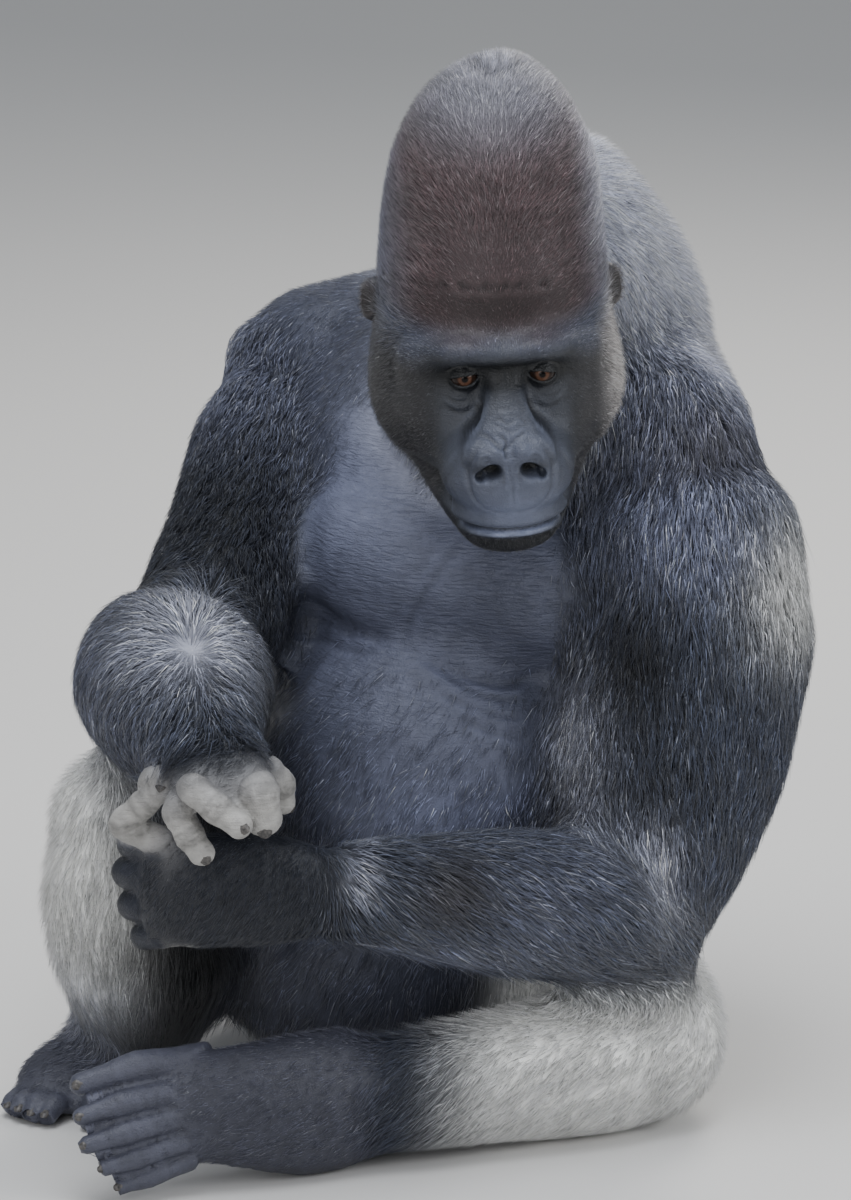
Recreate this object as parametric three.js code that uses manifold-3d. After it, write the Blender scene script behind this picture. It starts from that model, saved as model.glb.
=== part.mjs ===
// A seated silverback gorilla, life size, as a still model: arms folded over the lap, right knee
// drawn up, left leg laid across the front. Millimetres, +Z up, the ground at z = 0. The animal
// faces -Y and its own left is +X. Every form takes in the coat, out to the tips of the hair.
import * as THREE from 'three';
import { mergeVertices } from 'three/addons/utils/BufferGeometryUtils.js';
import Module from 'manifold-3d';

const wasm = await Module();
wasm.setup();

// ---- Driving dimensions (mm) and angles (degrees) ----
const GAP = 0.3; // between neighbouring solids
const EYE_RADIUS = 12;
const EYE_AT = [34.5, -112, -4]; // in the head's own frame, mirrored for the right
const HEAD_AT = [60, -110, 767]; // between the ears
const HEAD_PITCH = 16; // looking down
const HEAD_ROLL = -3;
const HEAD_YAW = 3.5;
const CHEST_YAW = 25; // the chest faces this far to the animal's right
const WAIST = 430; // height of the fold below the breast
const CENTRE = [-15, 12]; // middle of the whole body, seen from above

// ---- Materials ----
const matt = (hex, roughness) => new THREE.MeshStandardMaterial({ color: hex, roughness, metalness: 0 });
const BLACK_COAT = () => matt(0x24252b, 0.75);
const SILVER_COAT = () => matt(0x6f6e70, 0.75);
const CROWN_COAT = () => matt(0x3c2e2c, 0.75);
const FACE_SKIN = () => matt(0x2c2e36, 0.55);
const CHEST_SKIN = () => matt(0x3d3f49, 0.6);
const FINGER_SKIN = () => matt(0x77736c, 0.6);
const EYE = () => matt(0x3a1c0e, 0.15);

// ---- Shape helpers ----
const rad = THREE.MathUtils.degToRad;
const vec = (p) => new THREE.Vector3(p[0], p[1], p[2]);

// An oval form swept through stations [x, y, z, half width, half depth], rounded at both ends.
// The width lies along `across`, `square` swells the oval's corners, `grow` fattens it all round.
function loft(stations, { across = [1, 0, 0], sides = 10, cap = 2, blunt = 1, square = 2, grow = 0 }) {
  const last = stations.length - 1;
  const line = new THREE.CatmullRomCurve3(stations.map(vec), false, 'centripetal');
  const sizes = stations.map((s) => new THREE.Vector2(s[3], s[4]));
  const shape = new THREE.CapsuleGeometry(1, last, cap, sides, last);
  const position = shape.attributes.position;
  const vertex = new THREE.Vector3();
  for (let i = 0; i < position.count; i++) {
    vertex.fromBufferAttribute(position, i);
    const along = vertex.y + last / 2;
    const inside = THREE.MathUtils.clamp(along, 0, last);
    const centre = line.getPoint(inside / last);
    const ahead = line.getTangent(inside / last);
    const size = sizes[Math.round(inside)];
    const wide = vec(across).addScaledVector(ahead, -ahead.dot(vec(across))).normalize();
    const deep = wide.clone().cross(ahead);
    const angle = Math.atan2(vertex.z, vertex.x);
    const corner = Math.abs(Math.cos(angle)) ** square + Math.abs(Math.sin(angle)) ** square;
    const swell = corner ** (-1 / square);
    centre.addScaledVector(ahead, (along - inside) * (blunt * Math.min(size.x, size.y) + grow));
    centre.addScaledVector(wide, vertex.x * swell * (size.x + grow));
    centre.addScaledVector(deep, vertex.z * swell * (size.y + grow));
    position.setXYZ(i, centre.x, centre.y, centre.z);
  }
  return shape;
}

// An ellipsoid at a place, turned about x, y and z.
function ball([x, y, z], [rx, ry, rz], { turn = [0, 0, 0], sides = 12, grow = 0 }) {
  const shape = new THREE.SphereGeometry(1, sides, Math.round(sides * 0.6));
  shape.scale(rx + grow, ry + grow, rz + grow);
  shape.rotateX(rad(turn[0])).rotateY(rad(turn[1])).rotateZ(rad(turn[2]));
  return shape.translate(x, y, z);
}

// A wide box between two heights.
function slab(low, high) {
  return new THREE.BoxGeometry(3000, 3000, high - low).translate(0, 0, (low + high) / 2);
}

// A closed three.js geometry as a manifold solid, and back.
function solidOf(geometry) {
  const bare = geometry.clone();
  bare.deleteAttribute('normal');
  bare.deleteAttribute('uv');
  const merged = mergeVertices(bare, 1e-4);
  return new wasm.Manifold(new wasm.Mesh({
    numProp: 3,
    vertProperties: new Float32Array(merged.attributes.position.array),
    triVerts: new Uint32Array(merged.index.array),
  }));
}

function geometryOf(solid) {
  const mesh = solid.getMesh();
  const geometry = new THREE.BufferGeometry();
  geometry.setAttribute('position', new THREE.BufferAttribute(new Float32Array(mesh.vertProperties), 3));
  geometry.setIndex(new THREE.BufferAttribute(new Uint32Array(mesh.triVerts), 1));
  geometry.computeVertexNormals();
  return geometry;
}

const joined = (geometries) => geometries.map(solidOf).reduce((a, b) => a.add(b));
const largest = (solid) => solid.decompose().reduce((a, b) => (a.volume() > b.volume() ? a : b));

// ---- The scene graph: the body's groups, each at its joint ----
const gorilla = new THREE.Group();
gorilla.position.set(-CENTRE[0], -CENTRE[1], 0);

function groupAt([x, y, z], parent = gorilla) {
  const group = new THREE.Group();
  group.position.set(x, y, z);
  parent.add(group);
  return group;
}
const trunk = groupAt([20, 220, 120]);
const head = groupAt(HEAD_AT);
head.rotation.set(rad(HEAD_PITCH), rad(HEAD_ROLL), rad(HEAD_YAW), 'ZYX');
const armLeft = groupAt([230, -10, 600]);
const armRight = groupAt([-115, 215, 620]);
const legLeft = groupAt([100, 200, 100]);
const legRight = groupAt([-70, 250, 110]);
const handOfLeft = groupAt([-110, -270, 272]);
const handOfRight = groupAt([-186, -330, 410]);
const footOfLeft = groupAt([-66, -225, 72]);
const footOfRight = groupAt([-285, 20, 50]);
gorilla.updateMatrixWorld(true);

// The head's forms are given in its own frame, face towards -y, and then set on the body.
const headPose = new THREE.Matrix4().compose(head.position, head.quaternion, head.scale);
const onHead = (shapes) => shapes.map((shape) => shape.applyMatrix4(headPose));

// ---- Head ----
const eye = (side) => (grow) => onHead([
  ball([side * EYE_AT[0], EYE_AT[1], EYE_AT[2]], [EYE_RADIUS, EYE_RADIUS, EYE_RADIUS], { sides: 10, grow }),
]);

const skull = (grow) => onHead([
  // from the throat up: jaw angles, cheeks, ears, forehead and crest
  loft([
    [0, -58, -132, 58, 56], [0, -48, -102, 104, 76], [0, -32, -62, 124, 90], [0, -12, -14, 116, 105],
    [1, 4, 36, 108, 114], [4, 24, 88, 104, 108], [9, 42, 138, 94, 97], [14, 56, 176, 78, 76],
    [17, 62, 203, 52, 48],
  ], { sides: 16, blunt: 0.5, grow }),
  // brow ridge, from temple to temple
  loft([
    [-80, -80, 6, 18, 20], [-56, -106, 20, 20, 24], [-28, -114, 26, 17, 21], [0, -113, 22, 16, 20],
    [28, -114, 26, 17, 21], [56, -106, 20, 20, 24], [80, -80, 6, 18, 20],
  ], { across: [0, 0, 1], sides: 8, grow }),
  // face around the eyes, and the cheekbones
  ball([0, -78, -16], [92, 44, 56], { sides: 10, grow }),
  ball([-58, -86, -42], [44, 36, 32], { sides: 8, turn: [0, 0, -28], grow }),
  ball([58, -86, -42], [44, 36, 32], { sides: 8, turn: [0, 0, 28], grow }),
]);
const eyeSockets = () => onHead([
  ball([-36, -133, -6], [25, 17, 14], { sides: 8 }),
  ball([36, -133, -6], [25, 17, 14], { sides: 8 }),
]);

const muzzle = (grow) => onHead([
  // snout, down to the upper lip
  loft([[0, -84, -78, 80, 62], [0, -122, -84, 67, 46], [0, -150, -90, 57, 34], [0, -172, -97, 46, 26]],
    { sides: 12, blunt: 0.6, grow }),
  // bridge of the nose
  loft([[0, -108, 8, 13, 12], [0, -126, -18, 16, 14], [0, -148, -42, 24, 15], [0, -163, -58, 25, 15]],
    { sides: 8, grow }),
  // wings of the nose
  ball([-25, -160, -63], [18, 17, 19], { sides: 8, turn: [0, 15, 0], grow }),
  ball([25, -160, -63], [18, 17, 19], { sides: 8, turn: [0, -15, 0], grow }),
]);
const nostrils = () => onHead([
  ball([-16, -182, -67], [9, 10, 6], { sides: 6, turn: [0, 20, 0] }),
  ball([16, -182, -67], [9, 10, 6], { sides: 6, turn: [0, -20, 0] }),
]);

const jaw = (grow) => onHead([
  loft([[0, -58, -126, 88, 46], [0, -112, -139, 68, 35], [0, -150, -144, 49, 25]],
    { sides: 14, blunt: 0.8, grow }),
]);

const ear = (side) => (grow) => onHead([
  ball([side * 110, 6, 16], [11, 16, 24], { sides: 8, turn: [-12, 0, side * 26], grow }),
]);
const earHollow = (side) => () => onHead([
  ball([side * 122, -4, 17], [7, 9, 15], { sides: 6, turn: [-12, 0, side * 26] }),
]);

// ---- Trunk ----
const CHEST_ACROSS = [Math.cos(rad(CHEST_YAW)), -Math.sin(rad(CHEST_YAW)), 0];

const trunkForms = (grow) => [
  // rump to nape, hunched
  loft([
    [20, 235, 66, 200, 180], [22, 225, 150, 218, 202], [34, 200, 280, 214, 206], [52, 168, 400, 210, 204],
    [74, 142, 510, 222, 196], [96, 126, 600, 224, 178], [112, 118, 675, 190, 148], [116, 108, 728, 146, 108],
  ], { across: CHEST_ACROSS, sides: 16, blunt: 0.4, square: 2.3, grow }),
  // shoulder girdle
  loft([
    [-108, 215, 626, 97, 97], [-20, 200, 652, 98, 98], [95, 150, 650, 106, 102], [185, 70, 626, 107, 104],
    [226, 0, 604, 96, 96],
  ], { across: [0, 0, 1], sides: 12, grow }),
  // breast muscles
  ball([-28, 10, 508], [126, 70, 84], { turn: [8, 0, -38], grow }),
  ball([100, -30, 494], [122, 70, 86], { turn: [8, 0, -16], grow }),
  // belly, and its fold over the groin
  ball([8, 30, 318], [176, 148, 165], { sides: 14, turn: [0, 0, -22], grow }),
  ball([-56, 60, 124], [160, 144, 134], { sides: 12, grow }),
];
const chest = (grow) => trunkForms(grow);
const abdomen = (grow) => trunkForms(grow);
const belowWaist = () => [slab(-100, WAIST + GAP)];
const aboveWaist = () => [slab(WAIST, 1400)];

const neck = (grow) => [
  loft([
    [70, -44, 812, 102, 108], [100, 22, 808, 122, 120], [118, 94, 758, 142, 124], [124, 146, 690, 172, 126],
  ], { across: CHEST_ACROSS, sides: 12, grow }),
  // throat
  ball([58, -14, 684], [112, 100, 116], { sides: 12, grow }),
];

// ---- Arms ----
const upperArmLeft = (grow) => [
  loft([
    [210, 10, 622, 98, 98], [240, -28, 550, 112, 106], [246, -50, 450, 120, 110], [224, -80, 340, 116, 102],
    [202, -104, 250, 96, 88],
  ], { sides: 12, grow }),
];
const forearmLeft = (grow) => [
  loft([
    [210, -116, 206, 76, 76], [150, -158, 226, 80, 78], [60, -200, 242, 74, 68], [-20, -236, 258, 62, 52],
    [-85, -260, 270, 54, 40],
  ], { across: [0, 0, 1], grow }),
];
const upperArmRight = (grow) => [
  loft([
    [-112, 215, 622, 92, 98], [-146, 150, 576, 82, 90], [-174, 62, 512, 75, 82], [-202, -24, 452, 80, 80],
  ], { across: CHEST_ACROSS, sides: 12, grow }),
];
const forearmRight = (grow) => [
  loft([
    [-232, -48, 424, 94, 94], [-228, -120, 424, 102, 96], [-218, -200, 422, 88, 84], [-196, -280, 416, 62, 56],
    [-188, -322, 410, 50, 40],
  ], { sides: 12, grow }),
];

// ---- Legs ----
const thighLeft = (grow) => [
  loft([[96, 190, 96, 112, 106], [156, 60, 92, 108, 100], [194, -50, 82, 96, 92], [204, -90, 78, 88, 86]],
    { grow }),
];
const shinLeft = (grow) => [
  loft([[204, -102, 76, 84, 84], [130, -142, 72, 74, 74], [40, -186, 70, 68, 62], [-30, -222, 70, 66, 54]],
    { across: [0, 0, 1], grow }),
];
const thighRight = (grow) => [
  loft([
    [-60, 250, 106, 118, 108], [-150, 150, 170, 118, 122], [-236, 30, 248, 104, 106], [-276, -58, 282, 88, 82],
  ], { grow }),
];
const shinRight = (grow) => [
  loft([
    [-282, -78, 272, 86, 82], [-272, -62, 220, 96, 98], [-258, -34, 150, 102, 98], [-264, 0, 92, 88, 80],
    [-280, 18, 56, 60, 56],
  ], { grow }),
];

// ---- Hands and feet. A digit runs through its points: base, knuckles and tip. ----
const digit = (thick, tip, points) => (grow) => {
  const slim = (thick - tip) / (points.length - 1);
  const stations = points.map((point, i) => [...point, thick - slim * i, (thick - slim * i) * 0.92]);
  return [loft(stations, { sides: 7, grow })];
};
const palmLeft = (grow) => [
  loft([
    [-90, -266, 272, 52, 36], [-150, -284, 278, 58, 34], [-200, -294, 280, 60, 31], [-234, -294, 282, 54, 27],
  ], { across: [0, 0, 1], grow }),
];
const palmRight = (grow) => [
  loft([[-186, -322, 412, 46, 32], [-182, -345, 410, 52, 30], [-180, -360, 402, 52, 24]],
    { grow }),
];
const soleLeft = (grow) => [
  loft([
    [-66, -228, 68, 70, 50], [-120, -260, 70, 71, 44], [-172, -286, 76, 62, 36], [-212, -302, 78, 52, 28],
  ], { across: [0, 0, 1], grow }),
  ball([-62, -196, 50], [46, 44, 50], { sides: 8, grow }),
];
const soleRight = (grow) => [
  loft([[-276, 66, 33, 42, 36], [-298, 4, 38, 50, 40], [-326, -40, 30, 53, 33], [-344, -66, 21, 50, 23]],
    { grow }),
];

// ---- Every sub-part, the ones that stay whole first: each is cut back by those before it ----
const PARTS = [
  ['eye_left', head, EYE, eye(1)],
  ['eye_right', head, EYE, eye(-1)],
  ['head', head, CROWN_COAT, skull, eyeSockets],
  ['muzzle', head, FACE_SKIN, muzzle, nostrils],
  ['jaw', head, FACE_SKIN, jaw],
  ['ear_left', head, BLACK_COAT, ear(1), earHollow(1)],
  ['ear_right', head, BLACK_COAT, ear(-1), earHollow(-1)],
  ['chest', trunk, CHEST_SKIN, chest, belowWaist],
  ['abdomen', trunk, BLACK_COAT, abdomen, aboveWaist],
  ['neck', trunk, SILVER_COAT, neck],
  ['thigh_left', legLeft, SILVER_COAT, thighLeft],
  ['shin_left', legLeft, SILVER_COAT, shinLeft],
  ['foot_left', footOfLeft, BLACK_COAT, soleLeft],
  ['thigh_right', legRight, SILVER_COAT, thighRight],
  ['shin_right', legRight, SILVER_COAT, shinRight],
  ['foot_right', footOfRight, BLACK_COAT, soleRight],
  ['upper_arm_left', armLeft, BLACK_COAT, upperArmLeft],
  ['forearm_left', armLeft, BLACK_COAT, forearmLeft],
  ['hand_left', handOfLeft, BLACK_COAT, palmLeft],
  ['upper_arm_right', armRight, BLACK_COAT, upperArmRight],
  ['forearm_right', armRight, BLACK_COAT, forearmRight],
  ['hand_right', handOfRight, BLACK_COAT, palmRight],
  ['thumb_left', handOfLeft, FINGER_SKIN,
    digit(16, 11, [[-236, -302, 326], [-266, -316, 347], [-248, -324, 368], [-228, -330, 386]])],
  ['finger_left_2', handOfLeft, FINGER_SKIN,
    digit(17, 12, [[-234, -292, 316], [-260, -262, 314], [-236, -232, 308], [-204, -232, 304]])],
  ['finger_left_3', handOfLeft, FINGER_SKIN,
    digit(18, 12, [[-238, -292, 290], [-264, -258, 286], [-236, -226, 280], [-200, -228, 276]])],
  ['finger_left_4', handOfLeft, FINGER_SKIN,
    digit(17, 12, [[-234, -292, 262], [-260, -258, 256], [-234, -228, 250], [-202, -230, 248]])],
  ['finger_left_5', handOfLeft, FINGER_SKIN,
    digit(15, 11, [[-228, -290, 238], [-250, -262, 228], [-230, -236, 222], [-204, -236, 220]])],
  ['thumb_right', handOfRight, FINGER_SKIN,
    digit(15, 11, [[-142, -322, 402], [-128, -302, 380], [-126, -288, 358]])],
  ['finger_right_2', handOfRight, FINGER_SKIN,
    digit(20, 17, [[-152, -358, 402], [-146, -378, 390], [-142, -374, 368]])],
  ['finger_right_3', handOfRight, FINGER_SKIN,
    digit(17, 12, [[-190, -362, 404], [-202, -382, 398], [-182, -393, 382], [-162, -398, 368]])],
  ['finger_right_4', handOfRight, FINGER_SKIN,
    digit(16, 12, [[-208, -354, 392], [-216, -370, 372], [-206, -376, 352], [-196, -376, 337]])],
  ['finger_right_5', handOfRight, FINGER_SKIN,
    digit(14, 11, [[-220, -340, 400], [-240, -318, 388], [-248, -296, 366]])],
  ['toe_left_1', footOfLeft, BLACK_COAT,
    digit(20, 11, [[-196, -285, 118], [-256, -302, 118], [-308, -316, 106]])],
  ['toe_left_2', footOfLeft, BLACK_COAT,
    digit(16, 10, [[-218, -308, 98], [-270, -328, 92], [-306, -338, 83]])],
  ['toe_left_3', footOfLeft, BLACK_COAT,
    digit(15, 10, [[-218, -314, 76], [-266, -334, 67], [-302, -344, 58]])],
  ['toe_left_4', footOfLeft, BLACK_COAT,
    digit(14, 9, [[-214, -314, 54], [-260, -332, 42], [-294, -342, 34]])],
  ['toe_left_5', footOfLeft, BLACK_COAT,
    digit(13, 9, [[-208, -310, 36], [-248, -324, 22], [-278, -332, 14]])],
  ['toe_right_1', footOfRight, BLACK_COAT,
    digit(16, 11, [[-308, -52, 20], [-304, -96, 14], [-308, -124, 10]])],
  ['toe_right_2', footOfRight, BLACK_COAT,
    digit(13, 9, [[-326, -66, 20], [-342, -98, 17], [-350, -118, 8]])],
  ['toe_right_3', footOfRight, BLACK_COAT,
    digit(13, 9, [[-344, -66, 20], [-357, -96, 17], [-364, -112, 8]])],
  ['toe_right_4', footOfRight, BLACK_COAT,
    digit(12, 9, [[-360, -62, 18], [-371, -88, 15], [-377, -102, 8]])],
  ['toe_right_5', footOfRight, BLACK_COAT,
    digit(11, 8, [[-372, -54, 16], [-382, -76, 12], [-388, -88, 7]])],
];

// ---- Make the solids ----
const ground = solidOf(slab(-600, 0));
const cut = [];
for (const [name, group, material, forms, hollows] of PARTS) {
  let solid = joined(forms(0)).subtract(ground);
  if (hollows) solid = solid.subtract(joined(hollows()));
  for (const earlier of cut) solid = solid.subtract(earlier);
  const room = joined(forms(GAP));
  cut.push(hollows && name !== 'head' ? room.subtract(joined(hollows())) : room);
  const geometry = geometryOf(largest(solid));
  const mesh = new THREE.Mesh(geometry, material());
  mesh.name = name;
  geometry.translate(gorilla.position.x, gorilla.position.y, 0);
  geometry.applyMatrix4(group.matrixWorld.clone().invert());
  group.add(mesh);
}

export default gorilla;
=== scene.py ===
# %% [markdown]
# # A silverback gorilla, sitting with its arms folded over its lap
# The model is a still, life-size mount of a male western lowland gorilla. Its frame is a set of
# plain solids, one for each part of the body, that reach out to the tips of the hair. This lesson
# puts one skin inside those solids, sculpts the face, hands and folds on it, sets in the eyes and
# nails, and then lays the coat over the skin as solid tufts.

# %% Tools and frame
import bpy
import math
import numpy as np
from mathutils import Matrix, Vector
from mathutils.bvhtree import BVHTree
from mathutils.kdtree import KDTree


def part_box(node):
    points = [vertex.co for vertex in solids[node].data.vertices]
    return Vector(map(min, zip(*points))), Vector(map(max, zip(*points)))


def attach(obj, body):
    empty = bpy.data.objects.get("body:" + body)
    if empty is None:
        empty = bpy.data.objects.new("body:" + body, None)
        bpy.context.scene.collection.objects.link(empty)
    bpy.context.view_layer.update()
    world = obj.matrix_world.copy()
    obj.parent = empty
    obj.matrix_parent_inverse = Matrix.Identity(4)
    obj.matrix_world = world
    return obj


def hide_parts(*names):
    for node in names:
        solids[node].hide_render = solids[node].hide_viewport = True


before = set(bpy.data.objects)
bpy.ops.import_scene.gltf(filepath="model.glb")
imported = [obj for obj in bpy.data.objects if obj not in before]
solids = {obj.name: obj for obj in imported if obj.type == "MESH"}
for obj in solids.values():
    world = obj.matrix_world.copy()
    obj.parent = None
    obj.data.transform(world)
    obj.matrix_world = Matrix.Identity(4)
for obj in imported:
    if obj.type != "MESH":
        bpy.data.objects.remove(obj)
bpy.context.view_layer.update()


# %% [markdown]
# ## Where things are
# Sculpting is easier in millimetres. The whole animal was centred on the floor when its solids
# were made, so the same shift is found again from the two eyes: their middle is a known place in
# the head's own frame, and the head's frame sits at a known place on the body.

# %% The body's frame and the head's frame
MM = 0.001
HEAD_AT = np.array([60.0, -110.0, 767.0])
HEAD_PITCH, HEAD_ROLL, HEAD_YAW = 16.0, -3.0, 3.5
EYE_CENTRE = np.array([34.5, -112.0, -4.0])
EYE_RADIUS = 12.0

HEAD_TURN = np.array(
    Matrix.Rotation(math.radians(HEAD_YAW), 3, "Z")
    @ Matrix.Rotation(math.radians(HEAD_ROLL), 3, "Y")
    @ Matrix.Rotation(math.radians(HEAD_PITCH), 3, "X")
)


def middle(node):
    low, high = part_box(node)
    return np.array((low + high) / 2) / MM


between_eyes = HEAD_TURN @ (EYE_CENTRE * [0, 1, 1]) + HEAD_AT
SHIFT = np.round((middle("eye_left") + middle("eye_right")) / 2 - between_eyes, 1)
print("body to world shift in mm:", SHIFT)


def to_world(points):
    """Body millimetres to world metres."""
    return (np.asarray(points, float) + SHIFT) * MM


def to_head(points):
    """Body millimetres to the head's own frame: x to the animal's left, y back, z up."""
    return (points - HEAD_AT) @ HEAD_TURN


def from_head(points):
    return points @ HEAD_TURN.T + HEAD_AT


# %% [markdown]
# ## Camera
# The camera stands seven metres off with a long lens, a little above the animal's head and
# looking slightly down, and the middle of its view is at the height of the breast.

# %% Camera
VIEW_HEIGHT = 1.104  # metres of the animal's height that the long side of the view takes in
VIEW_FROM = 7.0  # metres
VIEW_MIDDLE = 472  # mm above the floor
VIEW_DOWN = math.radians(14)
SENSOR = 36.0  # mm

aim = Vector(to_world([0, 0, VIEW_MIDDLE]))
camera_data = bpy.data.cameras.new("camera")
camera_data.sensor_fit = "AUTO"
camera_data.sensor_width = SENSOR
camera_data.lens = SENSOR * VIEW_FROM / VIEW_HEIGHT
camera = bpy.data.objects.new("camera", camera_data)
bpy.context.scene.collection.objects.link(camera)
camera.location = aim + VIEW_FROM * Vector((0, -math.cos(VIEW_DOWN), math.sin(VIEW_DOWN)))
camera.rotation_euler = (math.pi / 2 - VIEW_DOWN, 0, 0)
bpy.context.scene.camera = camera
print("lens", round(camera_data.lens, 1), "mm")


# %% [markdown]
# ## Floor and light
# The floor is pale, plain and wide, so it fills the view from every side. The light is like a
# bright, lightly clouded day: one broad source overhead, a weaker one in front, another at the
# side, and one behind that picks out the ends of the hairs along the outline.

# %% Floor
FLOOR_SIZE = 60  # metres
PALE = (0.66, 0.65, 0.63)


def plain_material(name, colour, roughness):
    material = bpy.data.materials.new(name)
    material.use_nodes = True
    shader = material.node_tree.nodes["Principled BSDF"]
    shader.inputs["Base Color"].default_value = (*colour, 1)
    shader.inputs["Roughness"].default_value = roughness
    return material


def select_only(*objects):
    bpy.ops.object.select_all(action="DESELECT")
    for o in objects:
        o.select_set(True)
    bpy.context.view_layer.objects.active = objects[0]


bpy.ops.mesh.primitive_plane_add(size=FLOOR_SIZE, location=(0, 0, 0))
floor = bpy.context.object
floor.name = "floor"
floor.data.materials.append(plain_material("pale floor", PALE, 0.8))
print("floor corners:", len(floor.data.vertices))


# %% Lights
BREAST_HEIGHT = 0.5  # metres
SKY_COLOUR, SKY_STRENGTH = (0.80, 0.84, 0.90, 1), 0.42


def soft_light(name, place, size, power, colour):
    """A square soft box that faces the animal's breast: place and size in metres, power in W."""
    lamp = bpy.data.lights.new(name, "AREA")
    lamp.size = size
    lamp.energy = power
    lamp.color = colour
    box = bpy.data.objects.new(name, lamp)
    bpy.context.scene.collection.objects.link(box)
    box.location = place
    towards = Vector((0, 0, BREAST_HEIGHT)) - Vector(place)
    box.rotation_euler = towards.to_track_quat("-Z", "Y").to_euler()


soft_light("sky", (-0.4, -0.9, 4.2), 3.0, 165, (0.92, 0.95, 1.0))
soft_light("front", (-1.6, -4.0, 1.5), 2.4, 62, (0.98, 0.98, 1.0))
soft_light("side", (3.2, -1.8, 1.8), 1.8, 62, (0.94, 0.96, 1.0))
soft_light("behind", (1.2, 3.0, 2.8), 1.6, 80, (1.0, 0.97, 0.93))

world = bpy.data.worlds.new("studio")
bpy.context.scene.world = world
world.use_nodes = True
world.node_tree.nodes["Background"].inputs["Color"].default_value = SKY_COLOUR
world.node_tree.nodes["Background"].inputs["Strength"].default_value = SKY_STRENGTH


# %% [markdown]
# ## The skin
# A real gorilla's skin is one sheet from crown to toe. The solids are its parts, and each reaches
# to the ends of the hair. Copies of them are fattened a hair's breadth so that neighbours touch,
# joined, and remeshed by voxels into one closed surface with no seam. Smoothing then takes out
# the facets, and the surface is drawn in by the depth of the coat.

# %% One surface from all the flesh
SKIN_VOXEL = 9.0  # mm, the size of the remesh
OVERLAP = 0.45  # mm, more than the gap between two solids
FLESH = [name for name in solids if not name.startswith("eye_")]

copies = []
for name in FLESH:
    copy = solids[name].copy()
    copy.data = solids[name].data.copy()
    copy.parent = None
    for key in list(copy.keys()):
        del copy[key]
    bpy.context.scene.collection.objects.link(copy)
    copies.append(copy)
for copy in copies:
    select_only(copy)
    bpy.ops.object.mode_set(mode="EDIT")
    bpy.ops.mesh.select_all(action="SELECT")
    bpy.ops.mesh.remove_doubles(threshold=1e-6)
    bpy.ops.transform.shrink_fatten(value=OVERLAP * MM)
    bpy.ops.object.mode_set(mode="OBJECT")
select_only(*copies)
bpy.ops.object.join()
skin = bpy.context.object
skin.name = "skin"
skin.data.materials.clear()
bpy.ops.object.modifier_add(type="REMESH")
skin.modifiers[-1].mode = "VOXEL"
skin.modifiers[-1].voxel_size = SKIN_VOXEL * MM
bpy.ops.object.modifier_apply(modifier=skin.modifiers[-1].name)
bpy.ops.object.mode_set(mode="EDIT")
bpy.ops.mesh.select_all(action="SELECT")
bpy.ops.mesh.quads_convert_to_tris()
bpy.ops.object.mode_set(mode="OBJECT")
print("skin corners:", len(skin.data.vertices))


# %% [markdown]
# The sculpting is done on arrays: the places of the corners, and which corners are joined by an
# edge. `eased` moves each corner towards the mean of its neighbours, which is what a smoothing
# brush does, and the same averaging spreads a value such as a marking softly over the skin.

# %% Arrays and smoothing
def places_of(mesh):
    flat = np.empty(len(mesh.vertices) * 3, np.float32)
    mesh.vertices.foreach_get("co", flat)
    return flat.reshape(-1, 3).astype(float) / MM - SHIFT


def put_places(mesh, places):
    flat = to_world(places).astype(np.float32).ravel()
    mesh.vertices.foreach_set("co", flat)
    mesh.update()


def faces_of(mesh):
    flat = np.empty(len(mesh.loops), np.int32)
    mesh.loops.foreach_get("vertex_index", flat)
    return flat.reshape(-1, 3)


class Net:
    """Which corners of a mesh are neighbours."""

    def __init__(self, mesh):
        ends = np.empty(len(mesh.edges) * 2, np.int32)
        mesh.edges.foreach_get("vertices", ends)
        ends = ends.reshape(-1, 2)
        self.near = np.concatenate([ends[:, 0], ends[:, 1]])
        self.far = np.concatenate([ends[:, 1], ends[:, 0]])
        self.size = len(mesh.vertices)
        self.count = np.maximum(np.bincount(self.near, minlength=self.size), 1)
        self.faces = faces_of(mesh)

    def mean(self, values):
        if values.ndim == 1:
            total = np.bincount(self.near, values[self.far], self.size)
            return total / self.count
        return np.stack([self.mean(column) for column in np.ascontiguousarray(values.T)], axis=1)

    def eased(self, values, rounds, step=0.5):
        for _ in range(rounds):
            values = values + (self.mean(values) - values) * step
        return values

    def normals(self, places):
        a, b, c = (places[self.faces[:, i]] for i in range(3))
        face = np.cross(b - a, c - a)
        total = np.stack(
            [sum(np.bincount(self.faces[:, i], face[:, k], self.size) for i in range(3))
             for k in range(3)], axis=1)
        return total / np.maximum(np.linalg.norm(total, axis=1, keepdims=True), 1e-9)


def soft_step(low, high, values):
    """0 below low, 1 above high, and a smooth rise between."""
    t = np.clip((values - low) / (high - low), 0, 1)
    return t * t * (3 - 2 * t)


net = Net(skin.data)
places = places_of(skin.data)


# %% Which part of the body each corner belongs to
def flesh_tree():
    """A search tree over all the flesh solids, and the name of the solid of each triangle."""
    corners, triangles, owners = [], [], []
    for name in FLESH:
        mesh = solids[name].data
        start = len(corners)
        corners.extend(v.co[:] for v in mesh.vertices)
        for face in mesh.polygons:
            triangles.append([start + i for i in face.vertices])
            owners.append(name)
    return BVHTree.FromPolygons(corners, triangles), np.array(owners)


SOLID_TREE, SOLID_OWNER = flesh_tree()


def nearest_solid(places):
    """Name of the nearest solid, and how far each place lies inside the solids' outside, in mm."""
    owner, depth = [], []
    for place in to_world(places):
        spot, normal, face, distance = SOLID_TREE.find_nearest(place)
        owner.append(face)
        depth.append(math.copysign(distance, (spot - Vector(place)).dot(normal)))
    return SOLID_OWNER[owner], np.array(depth) / MM


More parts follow.
